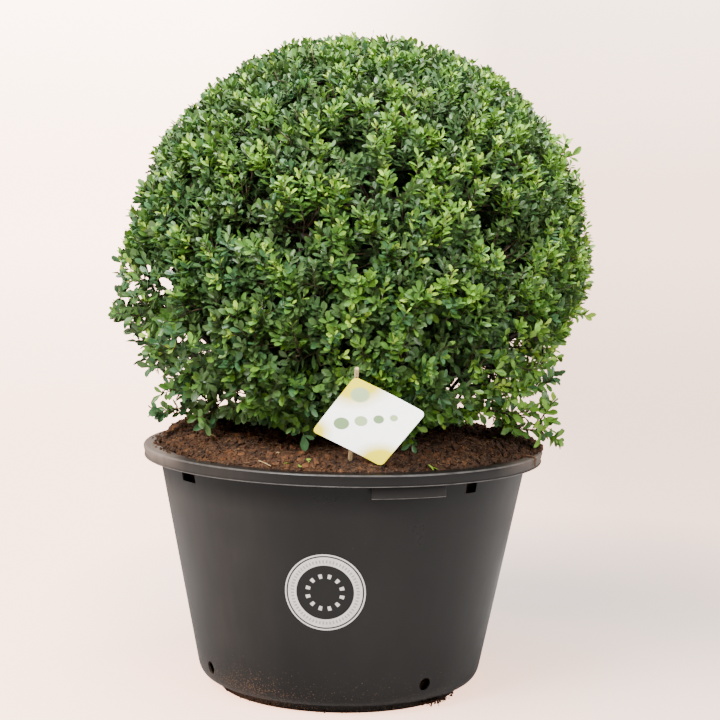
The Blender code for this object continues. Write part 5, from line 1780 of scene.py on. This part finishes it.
        # Painted light: sprays high up and to the right are dealt lighter kinds of leaf, those low down darker ones.
        painted_light_shift = np.interp(outward[:, 2], (-0.5, -0.2, 0.2, 0.6), (-0.06, -0.06, 0.04, 0.14)) + 0.24 * outward[:, 0]
        spray_kind = np.select([tone < 0.24 - painted_light_shift, tone < 0.38 - painted_light_shift, tone < 0.68 - painted_light_shift], [1, 2, 3], 4)
        dim = shoots["shade"] + rng.normal(scale=0.1, size=count)
        spray_kind = np.where(dim > 0.30, 1, spray_kind)
        spray_kind = np.where(dim > 0.60, 0, spray_kind)
        budding = rng.random(count) < np.interp(outward[:, 2], (-0.4, -0.1, 0.2), (0.06, 0.22, 0.44)) + 0.1 * outward[:, 0]
        budding &= dim < 0.25
        buds = rng.integers(2, 5, count)
        rows = []
        for step in range(per):
            up = ((step + 0.5) / per) ** 0.8
            spot = tips - along * (length * (1 - up))[:, None]
            angle = phase + step * 2.39996 + rng.normal(scale=0.25, size=count)
            radial = first * np.cos(angle)[:, None] + second * np.sin(angle)[:, None]
            lean = np.radians(70 - 40 * up ** 1.8 + rng.normal(scale=10, size=count))
            blade = unit(along * np.cos(lean)[:, None] + radial * np.sin(lean)[:, None])
            facing = along + outward * 0.35 + np.array(light) + rng.normal(scale=0.30, size=(count, 3))
            facing = unit(facing - blade * np.sum(facing * blade, axis=1, keepdims=True))
            young = budding & (step >= per - buds)
            size = shoots["size"] * rng.uniform(0.78, 1.22, count)
            size = size * np.where(young, 0.80, 1.0) * (1 - 0.18 * max(0.0, up - 0.8) / 0.2)
            wide = size * rng.uniform(0.86, 1.16, count)
            cup = size * rng.uniform(0.2, 2.2, count)
            kind = np.where(rng.random(count) < 0.16, rng.integers(1, 5, count), spray_kind)
            kind = np.where(dim > 0.60, 0, kind)
            kind = np.where(young, 5, kind)
            rows.append((spot, quaternions(np.cross(blade, facing), blade, facing),
                         np.stack([wide, size, cup], axis=1), kind, spot + blade * (look.length * size)[:, None]))
        return [np.concatenate(part) for part in zip(*rows)]

    def face_leaves(self, look, face, sprays):
        """The leaves of face and sprays, dealt out by colour."""
        bottom = crown_base(face[4]) - 0.008
        face = [part[face[4][:, 2] > bottom] for part in face]
        places, turns, sizes, kinds, ends = (np.concatenate(parts) for parts in zip(face, sprays))
        good = (ends[:, 2] > ground_under(ends) + 0.001) & ~self.by_label(ends) & ~self.by_label(places)
        good[:len(face[0])] &= ~in_openings(face[0], face[4])
        tints = (
            ("shaded", look.shaded, 0.42), ("old", look.old, 0.31), ("blue", look.blue, 0.27),
            ("full", look.full, 0.32), ("fresh", look.fresh, 0.35), ("young", look.young, 0.42),
        )
        for index, (name, color, roughness) in enumerate(tints):
            chosen = good & (kinds == index)
            material = leaf_material("leaf_" + name, color, roughness)
            shape = leaf_shape(look.length, look.width)
            self.deal(name, shape, places[chosen], turns[chosen], sizes[chosen], material)

    def deal(self, name, shape, places, turns, sizes, material):
        """Leaves of one colour, in as few pieces as the limit on triangles allows."""
        leaf = mesh_piece(name + "_shape", *shape, material)
        parts = max(1, math.ceil(len(places) * len(leaf.data.polygons) / 190000))
        for part in range(parts):
            pick = slice(part, None, parts)
            item = scattered(f"leaves_{name}_{part + 1}", leaf, places[pick], turns[pick], sizes[pick], material)
            dress(item, "foliage", *masses())
        bpy.data.objects.remove(leaf, do_unlink=True)

    def inner_leaves(self, name, look, rng, shoots, per, color):
        """Plainer dark leaves on the shaded shoots."""
        places, turns, sizes, _, ends = self.leaf_rows(look, rng, shoots, per)
        good = (ends[:, 2] > ground_under(ends) + 0.001) & ~in_openings(places, ends)
        shape = broad_leaf_shape(look.length, look.width * 1.2)
        self.deal(name, shape, places[good], turns[good], sizes[good], leaf_material("leaf_" + name, color, 0.5))


def label_matrix():
    """The label's frame: X across the card, Z up along the stick, -Y out of the card's face."""
    turn = Euler((math.radians(STICK_LEAN), math.radians(STICK_SLANT), 0.0), "XYZ").to_matrix().to_4x4()
    twist = Matrix.Rotation(math.radians(STICK_TWIST), 4, "Z")
    return Matrix.Translation(STICK_FOOT) @ turn @ twist


class HOLLY_OT_label(bpy.types.Operator):
    """Set the plain printed card on its bamboo stick"""
    bl_idname = "holly.label"
    bl_label = "Label"

    def execute(self, context):
        matrix = label_matrix()
        levels = list(np.linspace(-STICK_SUNK, STICK_LENGTH - 0.0006, 14)) + [STICK_LENGTH]
        path = [matrix @ Vector((0, 0, level)) for level in levels]
        radii = [STICK_RADIUS] * (len(levels) - 1) + [STICK_RADIUS * 0.8]
        cane = straw_material("bamboo", context.scene.holly_wood.bamboo)
        stick = mesh_piece("label_stick_cane", *tube(path, radii, 14, None, 0.06), cane, True, 40)
        dress(stick, "stick", "label_stick")
        self.card(matrix)
        return {"FINISHED"}

    def card(self, matrix):
        """A thin card with rounded corners, bowed a little across."""
        width, height = CARD_SIZE
        turn = Matrix.Rotation(math.radians(-CARD_TURN), 2)
        back = -STICK_RADIUS - GAP
        count = CARD_GRID + 1
        flat = []
        for row in range(count):
            for column in range(count):
                point = Vector(((column / CARD_GRID - 0.5) * width, (row / CARD_GRID - 0.5) * height))
                flat.append(self.rounded(point))
        vertices = []
        for depth in (back - CARD_THICKNESS, back):
            for point in flat:
                bow = CARD_BOW * (point.x / (width / 2)) ** 2
                place = turn @ point
                vertices.append(matrix @ Vector((place.x + CARD_MIDDLE[0], depth - bow, place.y + CARD_MIDDLE[1])))
        faces = []
        for row in range(CARD_GRID):
            for column in range(CARD_GRID):
                first = row * count + column
                front = [first, first + 1, first + 1 + count, first + count]
                faces.append(front)
                faces.append([corner + count * count for corner in front[::-1]])
        edge = list(range(CARD_GRID))
        edge += [row * count + CARD_GRID for row in range(CARD_GRID)]
        edge += [CARD_GRID * count + column for column in range(CARD_GRID, 0, -1)]
        edge += [row * count for row in range(CARD_GRID, 0, -1)]
        for index, start in enumerate(edge):
            after = edge[(index + 1) % len(edge)]
            faces.append([after, start, start + count * count, after + count * count])
        card = mesh_piece("label_card_print", vertices, faces, card_material("card_print"), True, 30)
        layer = card.data.uv_layers.new(name="card")
        for loop, mark in zip(card.data.loops, layer.data):
            point = flat[loop.vertex_index % (count * count)]
            mark.uv = (point.x / width + 0.5, point.y / height + 0.5)
        dress(card, "card", "label_card")

    def rounded(self, point):
        """A point of the card's grid, drawn in where the corner is rounded."""
        limit = Vector((CARD_SIZE[0] / 2 - CARD_CORNER, CARD_SIZE[1] / 2 - CARD_CORNER))
        over = Vector((max(0.0, abs(point.x) - limit.x), max(0.0, abs(point.y) - limit.y)))
        if over.length <= CARD_CORNER or over.x == 0 or over.y == 0:
            return point
        over = over * (CARD_CORNER / over.length)
        return Vector((math.copysign(limit.x + over.x, point.x), math.copysign(limit.y + over.y, point.y)))


class HOLLY_OT_stage(bpy.types.Operator):
    """Set the pale floor and backdrop, the soft lights and the camera"""
    bl_idname = "holly.stage"
    bl_label = "Stage"

    def execute(self, context):
        look = context.scene.holly_stage
        paper = backdrop_material("studio_paper", look)
        bend = arc_points((FLOOR_RADIUS, WALL_CURVE), WALL_CURVE, -90, 0, 14)
        profile = [(0.0, 0.0), (0.5, 0.0), (2.0, 0.0)] + bend + [(FLOOR_RADIUS + WALL_CURVE, STUDIO_HEIGHT)]
        turned("backdrop", profile, paper, 96)
        world = bpy.data.worlds.new("studio")
        context.scene.world = world
        world.use_nodes = True
        background = world.node_tree.nodes["Background"]
        background.inputs["Color"].default_value = (1.0, 0.985, 0.975, 1.0)
        background.inputs["Strength"].default_value = look.sky
        self.lamp("main_light", (-1.5, -2.4, 2.9), 1.3, look.key_power)
        self.lamp("fill_light", (2.1, -2.3, 2.1), 1.5, look.fill_power)
        self.lamp("top_light", (0.1, -0.3, 3.4), 1.7, look.top_power)
        self.camera(context)
        return {"FINISHED"}

    def lamp(self, name, place, size, power):
        """A square soft light aimed at the plant."""
        light = bpy.data.lights.new(name, "AREA")
        light.size = size
        light.energy = power
        item = linked(name, light)
        item.location = place
        item.rotation_euler = (CAMERA_AIM - Vector(place)).to_track_quat("-Z", "Y").to_euler()

    def camera(self, context):
        """The camera at the photograph's place."""
        roll = math.radians(CAMERA_ROLL)
        back = camera_back()
        right = Vector((1, 0, 0))
        upward = right.cross(-back)
        across = right * math.cos(roll) + upward * math.sin(roll)
        top = upward * math.cos(roll) - right * math.sin(roll)
        turn = Matrix((across, top, back)).transposed().to_4x4()
        data = bpy.data.cameras.new("camera")
        data.sensor_width = SENSOR
        data.lens = CAMERA_FOCAL_PIXELS / FRAME_PIXELS * SENSOR
        item = linked("camera", data)
        item.matrix_world = Matrix.Translation(CAMERA_AIM + back * CAMERA_DISTANCE) @ turn
        context.scene.camera = item


class HOLLY_PT_panel(bpy.types.Panel):
    """Lists the holly's sizes, colours and pieces"""
    bl_idname = "HOLLY_PT_panel"
    bl_label = "Clipped holly"
    bl_space_type = "VIEW_3D"
    bl_region_type = "UI"
    bl_category = "Holly"

    def draw(self, context):
        scene = context.scene
        for group in (scene.holly_leaves, scene.holly_wood, scene.holly_pot, scene.holly_stage):
            box = self.layout.box()
            for name in group.__annotations__:
                box.prop(group, name)
        for step in STEPS:
            self.layout.operator(step.bl_idname)


GROUPS = (
    ("holly_leaves", HOLLY_PG_leaves), ("holly_wood", HOLLY_PG_wood), ("holly_pot", HOLLY_PG_pot),
    ("holly_stage", HOLLY_PG_stage),
)
STEPS = (
    HOLLY_OT_stage, HOLLY_OT_pot, HOLLY_OT_badge, HOLLY_OT_soil, HOLLY_OT_limbs, HOLLY_OT_foliage,
    HOLLY_OT_label,
)


def register():
    for name, group in GROUPS:
        bpy.utils.register_class(group)
        setattr(bpy.types.Scene, name, PointerProperty(type=group))
    for item in STEPS + (HOLLY_PT_panel,):
        bpy.utils.register_class(item)


def unregister():
    for item in (HOLLY_PT_panel,) + STEPS[::-1]:
        bpy.utils.unregister_class(item)
    for name, group in GROUPS[::-1]:
        delattr(bpy.types.Scene, name)
        bpy.utils.unregister_class(group)


def main():
    register()
    bpy.ops.holly.stage()
    bpy.ops.holly.pot()
    bpy.ops.holly.badge()
    bpy.ops.holly.soil()
    bpy.ops.holly.limbs()
    bpy.ops.holly.foliage()
    bpy.ops.holly.label()


if __name__ == "__main__":
    main()
